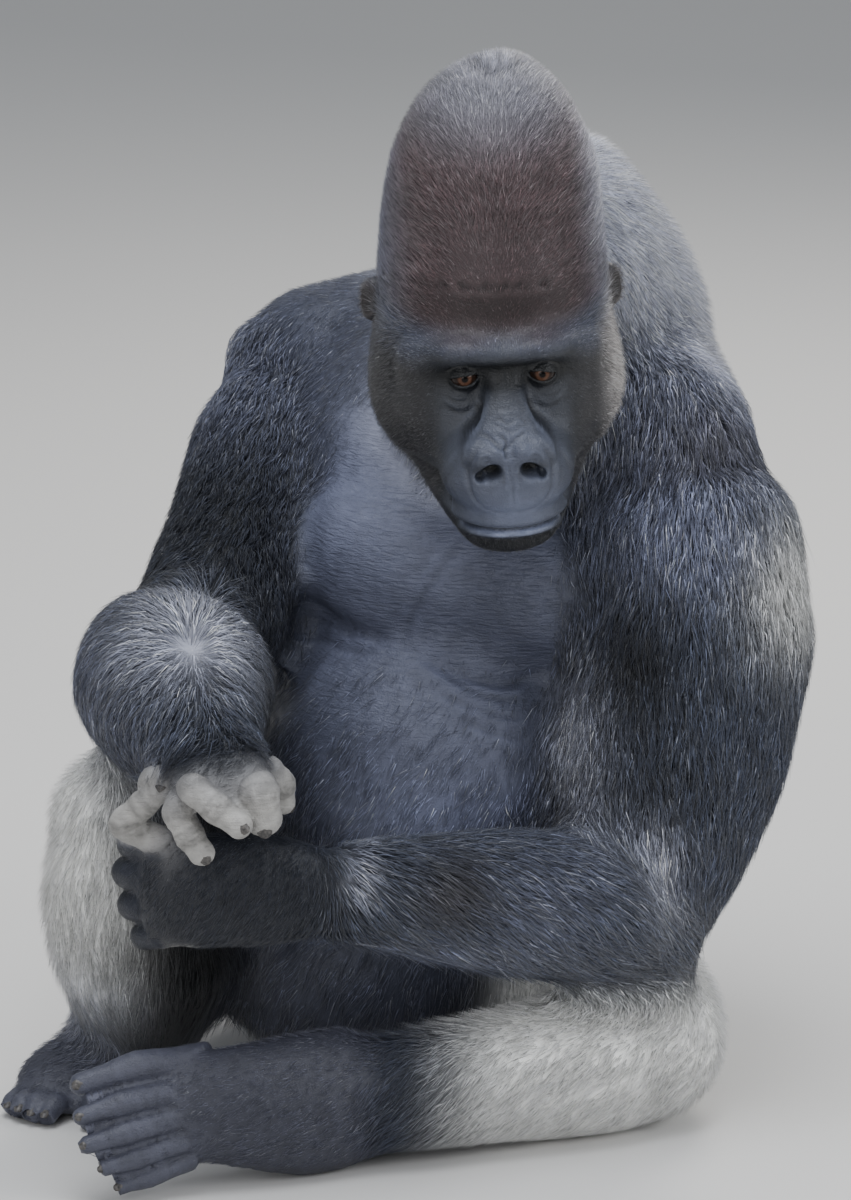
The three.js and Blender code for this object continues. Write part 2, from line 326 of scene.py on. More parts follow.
FINGERS = [n for n in FLESH if n.startswith(("finger", "thumb", "toe"))]
REGIONS = {
    "head": ["head", "muzzle", "jaw", "ear_left", "ear_right"],
    "chest": ["chest"], "belly": ["abdomen"], "neck": ["neck"],
    "arm_left": ["upper_arm_left"], "forearm_left": ["forearm_left"],
    "arm_right": ["upper_arm_right"], "forearm_right": ["forearm_right"],
    "thigh_left": ["thigh_left"], "shin_left": ["shin_left"],
    "thigh_right": ["thigh_right"], "shin_right": ["shin_right"],
    "hands": ["hand_left", "hand_right"], "feet": ["foot_left", "foot_right"],
    "digits": FINGERS,
}


def shares(owner, net, rounds):
    """For each region, how much of it there is at each corner, from 0 to 1, softened."""
    table = np.stack([np.isin(owner, nodes) for nodes in REGIONS.values()], axis=1)
    soft = net.eased(table.astype(float), rounds)
    return dict(zip(REGIONS, (soft / soft.sum(axis=1, keepdims=True)).T))


owner, depth = nearest_solid(places)
share = shares(owner, net, 12)


def by_region(share, **amounts):
    """A value for every corner, mixed from one value for each region."""
    return sum(share[region] * amount for region, amount in amounts.items())


# %% [markdown]
# The facets of the trunk are a hand wide and need many rounds of smoothing. The hands, feet and
# digits are small, and so many rounds would melt them, so each region has its own strength. The
# skin is then brought to the depth of the coat below the solids: about two centimetres under the
# long hair of the arms, and next to nothing on the breast, palms and digits.

# %% Smoothing and drawing in
SMOOTH_ROUNDS = 70
LOWEST = 0.6  # mm of air under the skin, for the hair that lies on the floor
softness = by_region(
    share, head=0.22, chest=0.5, belly=0.8, neck=0.9, arm_left=1, forearm_left=0.7, arm_right=0.8,
    forearm_right=0.8, thigh_left=0.9, shin_left=0.7, thigh_right=0.9, shin_right=0.8, hands=0.22,
    feet=0.22, digits=0.04)
for _ in range(SMOOTH_ROUNDS):
    places = places + (net.mean(places) - places) * 0.5 * softness[:, None]

coat_depth = by_region(
    share, head=6, chest=2.5, belly=9, neck=12, arm_left=17, forearm_left=15, arm_right=15,
    forearm_right=17, thigh_left=14, shin_left=12, thigh_right=14, shin_right=13, hands=5,
    feet=4, digits=0.5)
coat_depth = coat_depth * (0.08 + 0.92 * soft_step(2, 26, places[:, 2]))
for rounds in (24, 10):
    _, depth = nearest_solid(places)
    change = net.eased(coat_depth - depth, rounds)
    places = places - net.normals(places) * np.clip(change, -20, 25)[:, None]
    places = places + (net.mean(places) - places) * 0.4 * softness[:, None]
places[:, 2] = np.maximum(places[:, 2], LOWEST)
put_places(skin.data, places)
print("coat depth from", round(coat_depth.min(), 1), "to", round(coat_depth.max(), 1), "mm")


# %% [markdown]
# ## Forms to sculpt by
# Each form of the head is written as a field: a number for every place that is below zero inside
# the form, zero on its surface and above zero outside. Fields are easy to model with. The smaller
# of two is their union, and a soft minimum blends one form into the next as flesh does. The
# skin's corners then slide until the field is zero.

# %% Fields
def oval(p, centre, radii, turn=(0, 0, 0)):
    """Field of an ellipsoid, turned about x, y and z in degrees."""
    q = p - np.array(centre, float)
    if any(turn):
        rx, ry, rz = (math.radians(t) for t in turn)
        spin = Matrix.Rotation(rz, 3, "Z") @ Matrix.Rotation(ry, 3, "Y")
        q = q @ np.array(spin @ Matrix.Rotation(rx, 3, "X"))
    radii = np.array(radii, float)
    far = np.linalg.norm(q / radii, axis=1)
    steep = np.linalg.norm(q / radii ** 2, axis=1)
    return far * (far - 1) / np.maximum(steep, 1e-9)


def smoothed_line(stations, parts=4):
    """A smooth curve through the stations, with more of them."""
    s = np.array(stations, float)
    s = np.concatenate([2 * s[:1] - s[1:2], s, 2 * s[-1:] - s[-2:-1]])
    out = []
    for i in range(1, len(s) - 2):
        for t in np.arange(parts) / parts:
            a, b, c, d = s[i - 1:i + 3]
            out.append(0.5 * (2 * b + (c - a) * t + (2 * a - 5 * b + 4 * c - d) * t ** 2
                              + (3 * b - a - 3 * c + d) * t ** 3))
    return np.array(out + [s[-2]])


def swept(p, stations, across=(1, 0, 0), blunt=1.0, parts=4):
    """Field of an oval swept through stations x, y, z, half width, half depth."""
    s = smoothed_line(stations, parts)
    best = np.full(len(p), 1e9)
    field = np.full(len(p), 1e9)
    across = np.array(across, float)
    for a, b in zip(s[:-1], s[1:]):
        along = b[:3] - a[:3]
        size = np.linalg.norm(along)
        along = along / size
        wide = across - along * along.dot(across)
        wide = wide / np.linalg.norm(wide)
        deep = np.cross(wide, along)
        q = p - a[:3]
        run = q @ along
        t = np.clip(run / size, 0, 1)
        over = run - t * size
        away = np.linalg.norm(q - np.outer(t * size, along), axis=1)
        half_wide = a[3] + (b[3] - a[3]) * t
        half_deep = a[4] + (b[4] - a[4]) * t
        cap = blunt * np.minimum(half_wide, half_deep)
        r = np.sqrt((q @ wide / half_wide) ** 2 + (q @ deep / half_deep) ** 2 + (over / cap) ** 2)
        value = (r - 1) * np.minimum(half_wide, half_deep)
        closer = away < best
        best = np.where(closer, away, best)
        field = np.where(closer, value, field)
    return field


def blend(a, b, soft):
    """Union of two fields with a fillet about `soft` wide."""
    t = np.clip(0.5 + 0.5 * (b - a) / soft, 0, 1)
    return b + (a - b) * t - soft * t * (1 - t)


def carve(a, b, soft):
    """Field a with field b taken away."""
    return -blend(-a, b, soft)


# %% [markdown]
# ## The head
# A silverback's head is mostly muscle: a tall crest over the skull, a straight bar of brow with
# the eyes deep under it, broad cheeks, a short muzzle with wide flared nostrils, and a small
# chin. Every form is given in the head's own frame in millimetres, at the depth of the skin.

# %% Forms of the head
SKULL = [
    (0, -56, -130, 50, 48), (0, -48, -102, 95, 66), (0, -32, -62, 114, 82), (0, -12, -14, 108, 97),
    (1, 4, 36, 101, 107), (4, 24, 84, 97, 101), (8, 40, 128, 91, 94), (10, 47, 150, 83.5, 87),
    (12, 52, 168, 75, 78), (14, 56, 184, 65.5, 68), (15.5, 59, 197, 54, 56),
    (16.5, 61, 207, 42, 43), (17, 62, 214, 29.5, 30), (17, 62, 219, 15, 15)]
FACE_STATIONS = 7  # the first stations of the skull, up to above the brow
CROWN = 0.25  # the last cap of the skull is this much of its half width high
BROW = [
    (-77, -80, 2, 11, 11), (-55, -104, 16, 12, 14), (-31, -116, 23, 11, 15), (0, -114, 18, 10, 15),
    (31, -116, 23, 11, 15), (55, -104, 16, 12, 14), (77, -80, 2, 11, 11)]
EAR_RIM = [(104, -8, 26, 4, 4), (112, -2, 38, 4, 4), (119, 12, 37, 4, 4), (121, 18, 20, 4, 4),
           (117, 13, 2, 4, 4), (109, 4, -6, 5, 5)]
SNOUT = [(0, -84, -74, 76, 56), (0, -118, -82, 63, 45), (0, -142, -86, 57, 40)]
BRIDGE = [
    (0, -104, 6, 10, 11), (0, -122, -16, 15, 12), (0, -143, -36, 25, 14), (0, -156, -50, 29, 15)]
NOSE_PAD = [(0, -146, -50, 33, 17), (0, -162, -62, 38, 18), (0, -170, -80, 33, 15)]
JAW = [(0, -58, -124, 74, 40), (0, -108, -138, 56, 31), (0, -142, -143, 42, 24)]
LIP_BACK = 0.0056  # the lips curve back by this times the square of x
LIP_UP = -0.0020  # and up by this times it
LID = 1.5  # how thick a lid is
SLIT_HALF = 12.3  # half the width of the opening between the lids
SLIT_UPPER, SLIT_LOWER = 5.0, 4.0  # how far it opens above and below the middle


def mirrored(p):
    """The same places, all on the animal's left side."""
    return np.concatenate([np.abs(p[:, :1]), p[:, 1:]], axis=1)


def skull_and_jaw(p, pair, skull, blunt):
    """The skull with its brow, the flat of the face, the cheeks and the jaw."""
    brow = swept(p, BROW, across=(0, 0, 1), parts=2)
    f = blend(swept(p, skull, blunt=blunt, parts=2), brow, 20)
    f = blend(f, oval(pair, (0, -78, -16), (86, 42, 54)), 16)
    f = blend(f, oval(pair, (52, -80, -50), (38, 34, 32), (0, 0, 28)), 22)
    return blend(f, swept(p, JAW, blunt=0.75, parts=2), 18)


def plain_head(p):
    """The head in its simplest form: skull, brow, cheeks, jaw, ears and a rounded muzzle."""
    pair = mirrored(p)
    f = skull_and_jaw(p, pair, SKULL, CROWN)
    f = blend(f, oval(p, (0, -112, -78), (62, 66, 52)), 26)
    ear = oval(pair, (106, 8, 16), (11, 12, 20), (-12, 0, 26))
    ear = blend(ear, swept(pair, EAR_RIM, parts=2), 4)
    f = blend(f, ear, 4)
    return carve(f, oval(pair, (116, -1, 17), (9, 9, 13), (-12, 0, 30)), 3)


def face_forms(p):
    """The face from the front: sockets, bridge and pad of the nose, lips and nostrils."""
    pair = mirrored(p)
    z = p[:, 2]
    f = skull_and_jaw(p, pair, SKULL[:FACE_STATIONS], 0.4)
    f = carve(f, oval(pair, (37, -139, -8), (28, 24, 17)), 10)
    f = blend(f, swept(p, BRIDGE, parts=2), 12)
    f = blend(f, oval(pair, (33, -106, -27), (20, 13, 8), (0, -14, 0)), 9)
    bent = p - p[:, :1] ** 2 * [0, LIP_BACK, LIP_UP]
    f = blend(f, oval(bent, (0, -155, -134), (46, 19, 11)), 7)
    snout = blend(swept(p, SNOUT, blunt=0.5, parts=2), oval(p, (0, -138, -87), (57, 50, 40)), 8)
    snout = blend(snout, oval(bent, (0, -154, -117), (52, 29, 12)), 9)
    f = blend(f, snout, 1.6 + 11 * soft_step(-118, -96, z))
    f = blend(f, swept(p, NOSE_PAD, blunt=0.7, parts=2), 7)
    f = blend(f, oval(pair, (25, -163, -56), (15, 16, 16), (0, -20, 0)), 4)
    f = blend(f, oval(pair, (12, -172, -52), (9, 9, 9)), 5)
    f = blend(f, oval(pair, (17, -175, -84), (15, 9, 9), (0, 20, 0)), 5)
    f = carve(f, oval(pair, (0, -188, -44), (3, 12, 9)), 5)
    f = carve(f, oval(pair, (17, -183, -66), (10, 15, 6.3), (0, 28, -14)), 3)
    return carve(f, oval(pair, (27, -176, -71), (5, 9, 4), (0, 52, 0)), 3)


def eye_slit(p):
    """How far each place lies inside the opening between the lids, in the view from the front."""
    x = np.abs(p[:, 0]) - EYE_CENTRE[0]
    z = p[:, 2] - EYE_CENTRE[2] + 0.10 * x
    bend = np.clip(1 - (x / SLIT_HALF) ** 2, 0, 1)
    return np.minimum(SLIT_UPPER * bend ** 0.8 - z, z + SLIT_LOWER * bend ** 0.8)


def with_lids(p, f):
    """Lays the lids over the eyeball, and passes the skin behind it where the eye is open."""
    pair = mirrored(p)
    from_eye = pair - EYE_CENTRE
    across = np.linalg.norm(from_eye[:, [0, 2]], axis=1)
    open_eye = soft_step(-0.4, 0.8, eye_slit(p))
    ball = np.linalg.norm(from_eye, axis=1) - (EYE_RADIUS + LID)
    lidded = blend(f, ball, 4.0)
    lidded = lidded + (4.5 + ball - lidded) * open_eye
    return f + (lidded - f) * soft_step(19, 14, across)


def head_field(p):
    return with_lids(p, face_forms(p))


# %% Bringing the skin to the forms
PROBE = 0.8  # mm, the step with which a field's slope is felt


def settle(places, field, weight, reach, rounds, ease):
    """Slides the corners down the field's slope until it is zero, easing between rounds."""
    busy = np.nonzero(weight > 0.01)[0]
    for turn in range(rounds):
        at = places[busy]
        here = field(at)
        slope = np.stack([field(at + step) - here for step in np.eye(3) * PROBE], axis=1) / PROBE
        steep = np.maximum(np.linalg.norm(slope, axis=1), 0.3)
        slide = np.clip(-here / steep, -reach, reach) * weight[busy] / steep
        places[busy] = at + slope * slide[:, None]
        if turn < rounds - 1:
            normals = net.normals(places)
            away = net.mean(places) - places
            away -= normals * np.sum(away * normals, axis=1, keepdims=True) * 0.7
            places[busy] += away[busy] * (ease * weight[busy])[:, None]
    return places


def on_head(field):
    """A field of the head's own frame, made to take body millimetres."""
    return lambda places: field(to_head(places))


head_weight = soft_step(0.35, 0.75, share["head"])
places = settle(places, on_head(plain_head), head_weight, 12, 9, 0.6)
put_places(skin.data, places)
print("head corners:", int((head_weight > 0.5).sum()))


# %% [markdown]
# ## More corners where the detail is
# A corner every nine millimetres is enough under long hair. The bare face needs one every two
# or three millimetres, the eyelids, nostrils and lips closer ones still, and the digits, breast
# folds and ears come between. Edges longer than the spacing wanted at their place are cut in
# half, in rounds, which keeps the surface closed.

# %% Finer mesh on the face, digits and breast
def wanted_spacing(places, share):
    """Longest edge wanted at each place, in mm."""
    x, y, z = to_head(places).T
    px, py, height = places.T
    spacing = np.full(len(places), 12.0)
    trunk = share["chest"] + share["belly"]
    breast = (trunk > 0.5) & (py < 40) & (height < 600) & (height > 340)
    spacing[breast] = 5.5
    spacing[breast & (height > 352) & (height < 492) & (np.abs(px) < 130)] = 3.6
    near_digits = share["digits"] + 0.6 * share["hands"] + 0.6 * share["feet"]
    spacing[near_digits > 0.25] = 4.6
    right_fingers = (py < -325) & (height > 300) & (share["digits"] > 0.2)
    spacing[right_fingers] = 3.2
    left_toes = (height < 140) & (px < -190) & (py < -270) & (share["digits"] > 0.2)
    spacing[left_toes] = 3.4
    head = share["head"] > 0.3
    spacing[head] = 8.0
    spacing[head & (np.abs(x) > 88) & (y > -30) & (y < 40) & (z > -20) & (z < 50)] = 3.4
    front = head & (y < -50) & (z < 60) & (z > -165)
    spacing[front] = 3.4
    spacing[front & (np.abs(x) < 62) & (z > -145) & (z < -20)] = 2.5
    spacing[front & (np.abs(x) < 47) & (z > -104) & (z < -40)] = 1.8
    spacing[front & (np.abs(x) < 60) & (z > -134) & (z < -112)] = 1.9
    spacing[front & (np.hypot(np.abs(x) - EYE_CENTRE[0], z - EYE_CENTRE[2]) < 21)] = 1.6
    return spacing


def cut_long_edges(places, share):
    """One round: cuts every edge that is longer than wanted, and triangulates again."""
    mesh = skin.data
    ends = np.empty(len(mesh.edges) * 2, np.int32)
    mesh.edges.foreach_get("vertices", ends)
    ends = ends.reshape(-1, 2)
    length = np.linalg.norm(places[ends[:, 0]] - places[ends[:, 1]], axis=1)
    spacing = wanted_spacing(places, share)
    long = length > spacing[ends].min(axis=1) * 1.25
    corner = np.zeros(len(places), bool)
    corner[ends[long].ravel()] = True
    mesh.vertices.foreach_set("select", corner)
    mesh.edges.foreach_set("select", long)
    mesh.polygons.foreach_set("select", np.zeros(len(mesh.polygons), bool))
    select_only(skin)
    bpy.context.tool_settings.mesh_select_mode = (False, True, False)
    bpy.ops.object.mode_set(mode="EDIT")
    bpy.ops.mesh.subdivide(number_cuts=1, quadcorner="INNERVERT")
    bpy.ops.mesh.select_all(action="SELECT")
    bpy.ops.mesh.quads_convert_to_tris(quad_method="SHORTEST_DIAGONAL")
    bpy.ops.object.mode_set(mode="OBJECT")
    return int(long.sum())


def carried_over(share, net):
    """The region shares of the finer mesh. New corners come last, and take their neighbours'."""
    old = np.stack(list(share.values()), axis=1)
    table = np.zeros((net.size, old.shape[1] + 1))
    table[:len(old), :-1] = old
    table[:len(old), -1] = 1
    near = net.mean(table)
    new = near[len(old):, :-1] / np.maximum(near[len(old):, -1:], 1e-6)
    return dict(zip(share, np.concatenate([old, new]).T))


for turn in range(3):
    cut = cut_long_edges(places, share)
    net, places = Net(skin.data), places_of(skin.data)
    share = carried_over(share, net)
    fine = wanted_spacing(places, share) < 5
    for _ in range(2):
        places = places + (net.mean(places) - places) * 0.4 * fine[:, None]
    head_weight = soft_step(0.35, 0.75, share["head"])
    places = settle(places, on_head(plain_head), head_weight, 4, 2 + 2 * (turn == 2), 0.5)
    put_places(skin.data, places)
    print("round", turn, "cut", cut, "edges; corners", len(places))


# %% [markdown]
# The face proper is brought to its forms from the front. Each of its corners travels back along
# the head's own y from before the nose until it meets the surface, so nothing can fold over
# where the eyes lie deep under the brow.

# %% Bringing the face to its forms
def met_from_front(p, field, before=24.0, steps=22):
    """For each x and z, the y at which the field reaches zero, coming from a little in front."""
    q = p.copy()
    q[:, 1] -= before
    for _ in range(steps):
        left = field(q)
        q[:, 1] += np.clip(left, -4, 30) * 0.8
    missed = (np.abs(left) > 1.5) | (np.abs(q[:, 1] - p[:, 1]) > 45)
    q[missed] = p[missed]
    return q


def face_weight(p, share):
    """1 on the front of the face, fading to 0 where the skin turns to the side of the head."""
    x, y, z = p.T
    edge = soft_step(80, 64, np.abs(x)) * soft_step(46, 34, z) * soft_step(-160, -148, z)
    return edge * soft_step(-62, -84, y) * soft_step(0.5, 0.8, share)


for turn in range(4):
    local = to_head(places)
    weight = face_weight(local, share["head"])
    busy = np.nonzero(weight > 0.01)[0]
    met = met_from_front(local[busy], head_field, *((28, 24) if turn == 0 else (7, 10)))
    gap = from_head(met) - places[busy]
    places[busy] += gap * weight[busy][:, None]
    if turn < 3:
        normals = net.normals(places)
        away = net.mean(places) - places
        away -= normals * np.sum(away * normals, axis=1, keepdims=True)
        places[busy] += away[busy] * (0.45 * weight[busy])[:, None]
local = to_head(places)
weight = face_weight(local, share["head"])
places = settle(places, on_head(head_field), weight, 1.2, 4, 0.5)
print("face corners:", int((weight > 0.5).sum()))


# %% [markdown]
# ## Folds of the face
# The finest folds are drawn on the finished form: each is a line in the view from the front, with
# a width and a height, raised for a ridge and sunk for a groove. A line that runs on both sides
# of the face is drawn once and mirrored.

# %% Drawing folds
def along_line(points, line):
    """Distance of each point from a line of points, and how far along the line it is, 0 to 1."""
    line = np.array(line, float)
    best = np.full(len(points), 1e9)
    run = np.zeros(len(points))
    for i, (a, b) in enumerate(zip(line[:-1], line[1:])):
        step = b - a
        t = np.clip((points - a) @ step / (step @ step), 0, 1)
        away = np.linalg.norm(points - a - t[:, None] * step, axis=1)
        run = np.where(away < best, (i + t) / (len(line) - 1), run)
        best = np.minimum(best, away)
    return best, run


def fold_height(points, folds):
    """Height of all the folds at points given in the view from the front."""
    height = np.zeros(len(points))
    for line, width, rise, both in folds:
        line = smoothed_line([(x, z, 0, 0, 0) for x, z in line])[:, :2]
        for mirror in ((1, -1) if both else (1,)):
            away, run = along_line(points * [mirror, 1], line)
            ends = np.clip(np.minimum(run, 1 - run) * 5, 0.15, 1)
            height += rise * ends * np.exp(-(away / width) ** 2)
    return height


FACE_FOLDS = [  # line of (x, z), width, height, drawn on both sides?
    ([(-52, -14), (-45, -18), (-36, -18.7), (-28, -15.5)], 1.6, 0.8, True),
    ([(-53, -20), (-46, -24), (-38, -25.5), (-30, -22)], 1.7, -1.2, True),
    ([(-52, -25), (-46, -29.5), (-38, -31.5), (-31, -28)], 1.8, 1.1, True),
    ([(-50, -32), (-43, -36.5), (-34, -36), (-28, -31)], 1.8, -1.0, True),
    ([(-50, 2), (-41, 9), (-32, 8.5), (-25, 2)], 1.7, -1.4, True),
    ([(-49, 6), (-41, 13), (-31, 12.5), (-24, 6)], 2.0, 0.9, True),
    ([(-55, -4), (-62, -10), (-68, -20)], 1.8, -0.9, True),
    ([(-12, -9), (-17, -20), (-24, -29)], 3.0, 1.5, True),
    ([(-18, -31), (-8, -27), (0, -30), (9, -27)], 1.5, -1.0, False),
    ([(0, -24), (11, -27), (19, -35)], 1.5, -0.9, False),
    ([(-22, -35), (-11, -31), (2, -35), (13, -33), (21, -38)], 1.6, -1.1, False),
    ([(-14, -22), (-3, -20), (8, -22)], 1.5, -0.7, False),
    ([(-31, -41), (-20, -38.5), (-10, -43), (-3, -46), (4, -41), (15, -36.5), (24, -39)],
     1.7, -1.6, False),
    ([(24, -39), (32, -50), (37, -63), (37, -77), (33, -92), (24, -101)], 1.9, -1.5, True),
    ([(28, -38), (37, -50), (42, -64), (42, -78), (38, -94)], 2.4, 0.8, True),
    ([(-11, -37), (-3.5, -40), (-3.5, -48), (-3, -56)], 1.4, -2.0, False),
    ([(-3, -57), (-1, -65), (0, -74), (1, -86), (1, -98)], 1.7, -1.0, False),
    ([(-5, -62), (-4.5, -72), (-5, -82)], 1.6, 0.7, True),
    ([(-30, -61), (-27, -51.5), (-20, -48.8), (-13.5, -52)], 1.8, 1.1, True),
    ([(-24, -57), (-19, -55), (-13, -57)], 1.3, -0.7, True),
    ([(-30, -97), (-22, -103), (-10, -106), (0, -105)], 2.2, -0.7, True),
    ([(-49, -130), (-40, -130.6), (-28, -129.3), (-14, -128.3), (0, -128)], 1.5, -2.6, True),
    ([(-42, -136), (-30, -135), (-14, -133.8), (0, -133.5)], 2.0, 1.7, True),
    ([(-34, -143), (-20, -142), (0, -141.5)], 2.4, -1.3, True),
    ([(-44, -60), (-52, -74), (-58, -92), (-57, -108), (-52, -120)], 2.6, -1.3, True),
    ([(-4, 8), (-6, 0), (-5, -7)], 2.2, -1.1, True),
]

local = to_head(places)
weight = face_weight(local, share["head"])
rise = np.zeros(len(places))
busy = weight > 0.01
rise[busy] = fold_height(local[busy][:, [0, 2]], FACE_FOLDS) * weight[busy]
toward = net.normals(places)
facing = soft_step(0.15, -0.35, (toward @ HEAD_TURN)[:, 1])
places = places + toward * (rise * facing)[:, None]
put_places(skin.data, places)
print("folds of the face:", len(FACE_FOLDS), "heights", rise.min().round(1), rise.max().round(1))


# %% [markdown]
# The breast of a silverback sags into two broad folds with a shallow furrow between, and the skin
# above the belly is creased where the animal leans forward.

# %% Folds of the breast
BREAST_FOLDS = [
    ([(-126, 484), (-97, 460), (-60, 449), (-23, 446)], 6, -4.0, False),
    ([(-11, 436), (22, 425), (55, 414), (86, 412), (111, 420)], 6, -5.0, False),
    ([(-104, 482), (-62, 470), (-25, 466)], 12, 3.0, False),
    ([(-2, 456), (40, 446), (90, 436)], 14, 4.0, False),
    ([(34, 552), (8, 514), (-12, 475), (-22, 446)], 6, -3.0, False),
    ([(13, 424), (50, 405), (88, 394)], 3.4, -2.4, False),
    ([(8, 408), (55, 389), (95, 377)], 3.4, -2.2, False),
    ([(28, 386), (66, 371), (98, 361)], 3.4, -2.0, False),
    ([(-118, 433), (-78, 432), (-40, 436)], 4, -2.4, False),
    ([(-112, 448), (-84, 446), (-58, 441)], 3.4, -1.6, False),
    ([(30, 416), (66, 403), (98, 402)], 4, 1.8, False),
    ([(30, 398), (70, 382), (98, 376)], 4, 1.6, False),
]

on_front = soft_step(60, 20, places[:, 1]) * np.clip(share["chest"] + share["belly"], 0, 1)
busy = on_front > 0.01
rise = np.zeros(len(places))
rise[busy] = fold_height(places[busy][:, [0, 2]], BREAST_FOLDS) * on_front[busy]
places = places + net.normals(places) * rise[:, None]
put_places(skin.data, places)
print("folds of the breast:", len(BREAST_FOLDS), "skin corners:", len(places))


# %% [markdown]
# ## Fingers, thumbs and toes
# Each digit is a chain of short bones with a knuckle at each joint and a fleshy pad at its tip.
# It is swept through the same points as its solid: the base, the knuckles and the tip. A little
# more girth at the knuckles and a little less between them turns the plain taper into a finger.
# The toes of the left foot are a millimetre slimmer than their solids, which hold the hair too.

# %% Digits
DIGITS = {  # half width at the base, half width at the tip, points in body millimetres
    "thumb_left": (16, 11,
                   [(-236, -302, 326), (-266, -316, 347), (-248, -324, 368), (-228, -330, 386)]),
    "finger_left_2": (17, 12,
                      [(-234, -292, 316), (-260, -262, 314), (-236, -232, 308), (-204, -232, 304)]),
    "finger_left_3": (18, 12,
                      [(-238, -292, 290), (-264, -258, 286), (-236, -226, 280), (-200, -228, 276)]),
    "finger_left_4": (17, 12,
                      [(-234, -292, 262), (-260, -258, 256), (-234, -228, 250), (-202, -230, 248)]),
    "finger_left_5": (15, 11,
                      [(-228, -290, 238), (-250, -262, 228), (-230, -236, 222), (-204, -236, 220)]),
    "thumb_right": (15, 11, [(-142, -322, 402), (-128, -302, 380), (-126, -288, 358)]),
    "finger_right_2": (20, 17, [(-152, -358, 402), (-146, -378, 390), (-142, -374, 368)]),
    "finger_right_3": (17, 12,
                       [(-190, -362, 404), (-202, -382, 398), (-182, -393, 382), (-162, -398, 368)]),
    "finger_right_4": (16, 12,
                       [(-208, -354, 392), (-216, -370, 372), (-206, -376, 352), (-196, -376, 337)]),
    "finger_right_5": (14, 11, [(-220, -340, 400), (-240, -318, 388), (-248, -296, 366)]),
    "toe_left_1": (19, 10.5, [(-196, -285, 118), (-256, -302, 118), (-308, -316, 106)]),
    "toe_left_2": (14.5, 8.5, [(-218, -308, 98), (-270, -328, 92), (-306, -338, 83)]),
    "toe_left_3": (13.5, 8.5, [(-218, -314, 76), (-266, -334, 67), (-302, -344, 58)]),
    "toe_left_4": (12.5, 8, [(-214, -314, 54), (-260, -332, 42), (-294, -342, 34)]),
    "toe_left_5": (12, 8, [(-208, -310, 36), (-248, -324, 22), (-278, -332, 14)]),
    "toe_right_1": (16, 11, [(-308, -52, 20), (-304, -96, 14), (-308, -124, 10)]),
    "toe_right_2": (13, 9, [(-326, -66, 20), (-342, -98, 17), (-350, -118, 8)]),
    "toe_right_3": (13, 9, [(-344, -66, 20), (-357, -96, 17), (-364, -112, 8)]),
    "toe_right_4": (12, 9, [(-360, -62, 18), (-371, -88, 15), (-377, -102, 8)]),
    "toe_right_5": (11, 8, [(-372, -54, 16), (-382, -76, 12), (-388, -88, 7)]),
}


def digit_stations(thick, tip, points):
    """The points with their girths, and a slimmer station in the middle of each bone."""
    slim = (thick - tip) / (len(points) - 1)
    out = []
    for i, point in enumerate(points):
        girth = thick - slim * i
        knuckle = 1.06 if 0 < i < len(points) - 1 else 1.0
        out.append((*point, girth * knuckle, girth * knuckle * 0.93))
        if i < len(points) - 1:
            half = (np.array(point) + np.array(points[i + 1])) / 2
            girth -= slim / 2
            out.append((*half, girth * 0.93, girth * 0.86))
    return out


def digits_field(p):
    """The nearest digit's surface, with a sharp crease where two digits touch."""
    f = np.full(len(p), 1e9)
    for thick, tip, points in DIGITS.values():
        line = np.array(points, float)
        close = np.all((p > line.min(0) - 45) & (p < line.max(0) + 45), axis=1)
        if close.any():
            one = swept(p[close], digit_stations(thick, tip, points), parts=2)
            f[close] = blend(f[close], one, 1.2)
    return np.where(f > 1e8, 0, f)


digit_weight = soft_step(0.5, 0.85, share["digits"])
toes = share["digits"] * soft_step(150, 130, places[:, 2])
for _ in range(8):  # takes the corners off the toes' square ends before they are shaped
    places = places + (net.mean(places) - places) * 0.5 * toes[:, None]
places = settle(places, digits_field, digit_weight, 4, 16, 0.6)
places[:, 2] = np.maximum(places[:, 2], LOWEST)
put_places(skin.data, places)
print("digit corners:", int((digit_weight > 0.5).sum()))


# %% [markdown]
# ## Eyes
# A gorilla's eye is nearly all iris to the onlooker: amber brown with a darker rim, and the white
# is dark brown too. The ball is a sphere with its pole towards what the animal looks at, so its
# rings run round the pupil, and the rings over the iris are drawn out a little for the cornea.

# %% Eyes
IRIS = math.asin(6.9 / EYE_RADIUS)  # angles from the middle of the pupil, from half widths in mm
PUPIL = math.asin(2.5 / EYE_RADIUS)
IRIS_COLOUR, RIM_COLOUR = (78, 54, 42), (32, 20, 14)
WHITE_COLOUR, PUPIL_COLOUR = (34, 25, 21), (6, 5, 5)
LOOKS_AT = np.array([260.0, -3600.0, 560.0])  # body millimetres


def colour_layer(mesh, name, colours):
    """A colour for each corner, stored on the mesh."""
    layer = mesh.color_attributes.new(name, "FLOAT_COLOR", "POINT")
    full = np.ones((len(mesh.vertices), 4), np.float32)
    full[:, :3] = colours
    layer.data.foreach_set("color", full.ravel())


def paint(srgb):
    """The linear colour of a screen colour given from 0 to 255."""
    c = np.asarray(srgb, float) / 255
    return np.where(c < 0.04045, c / 12.92, ((c + 0.055) / 1.055) ** 2.4)


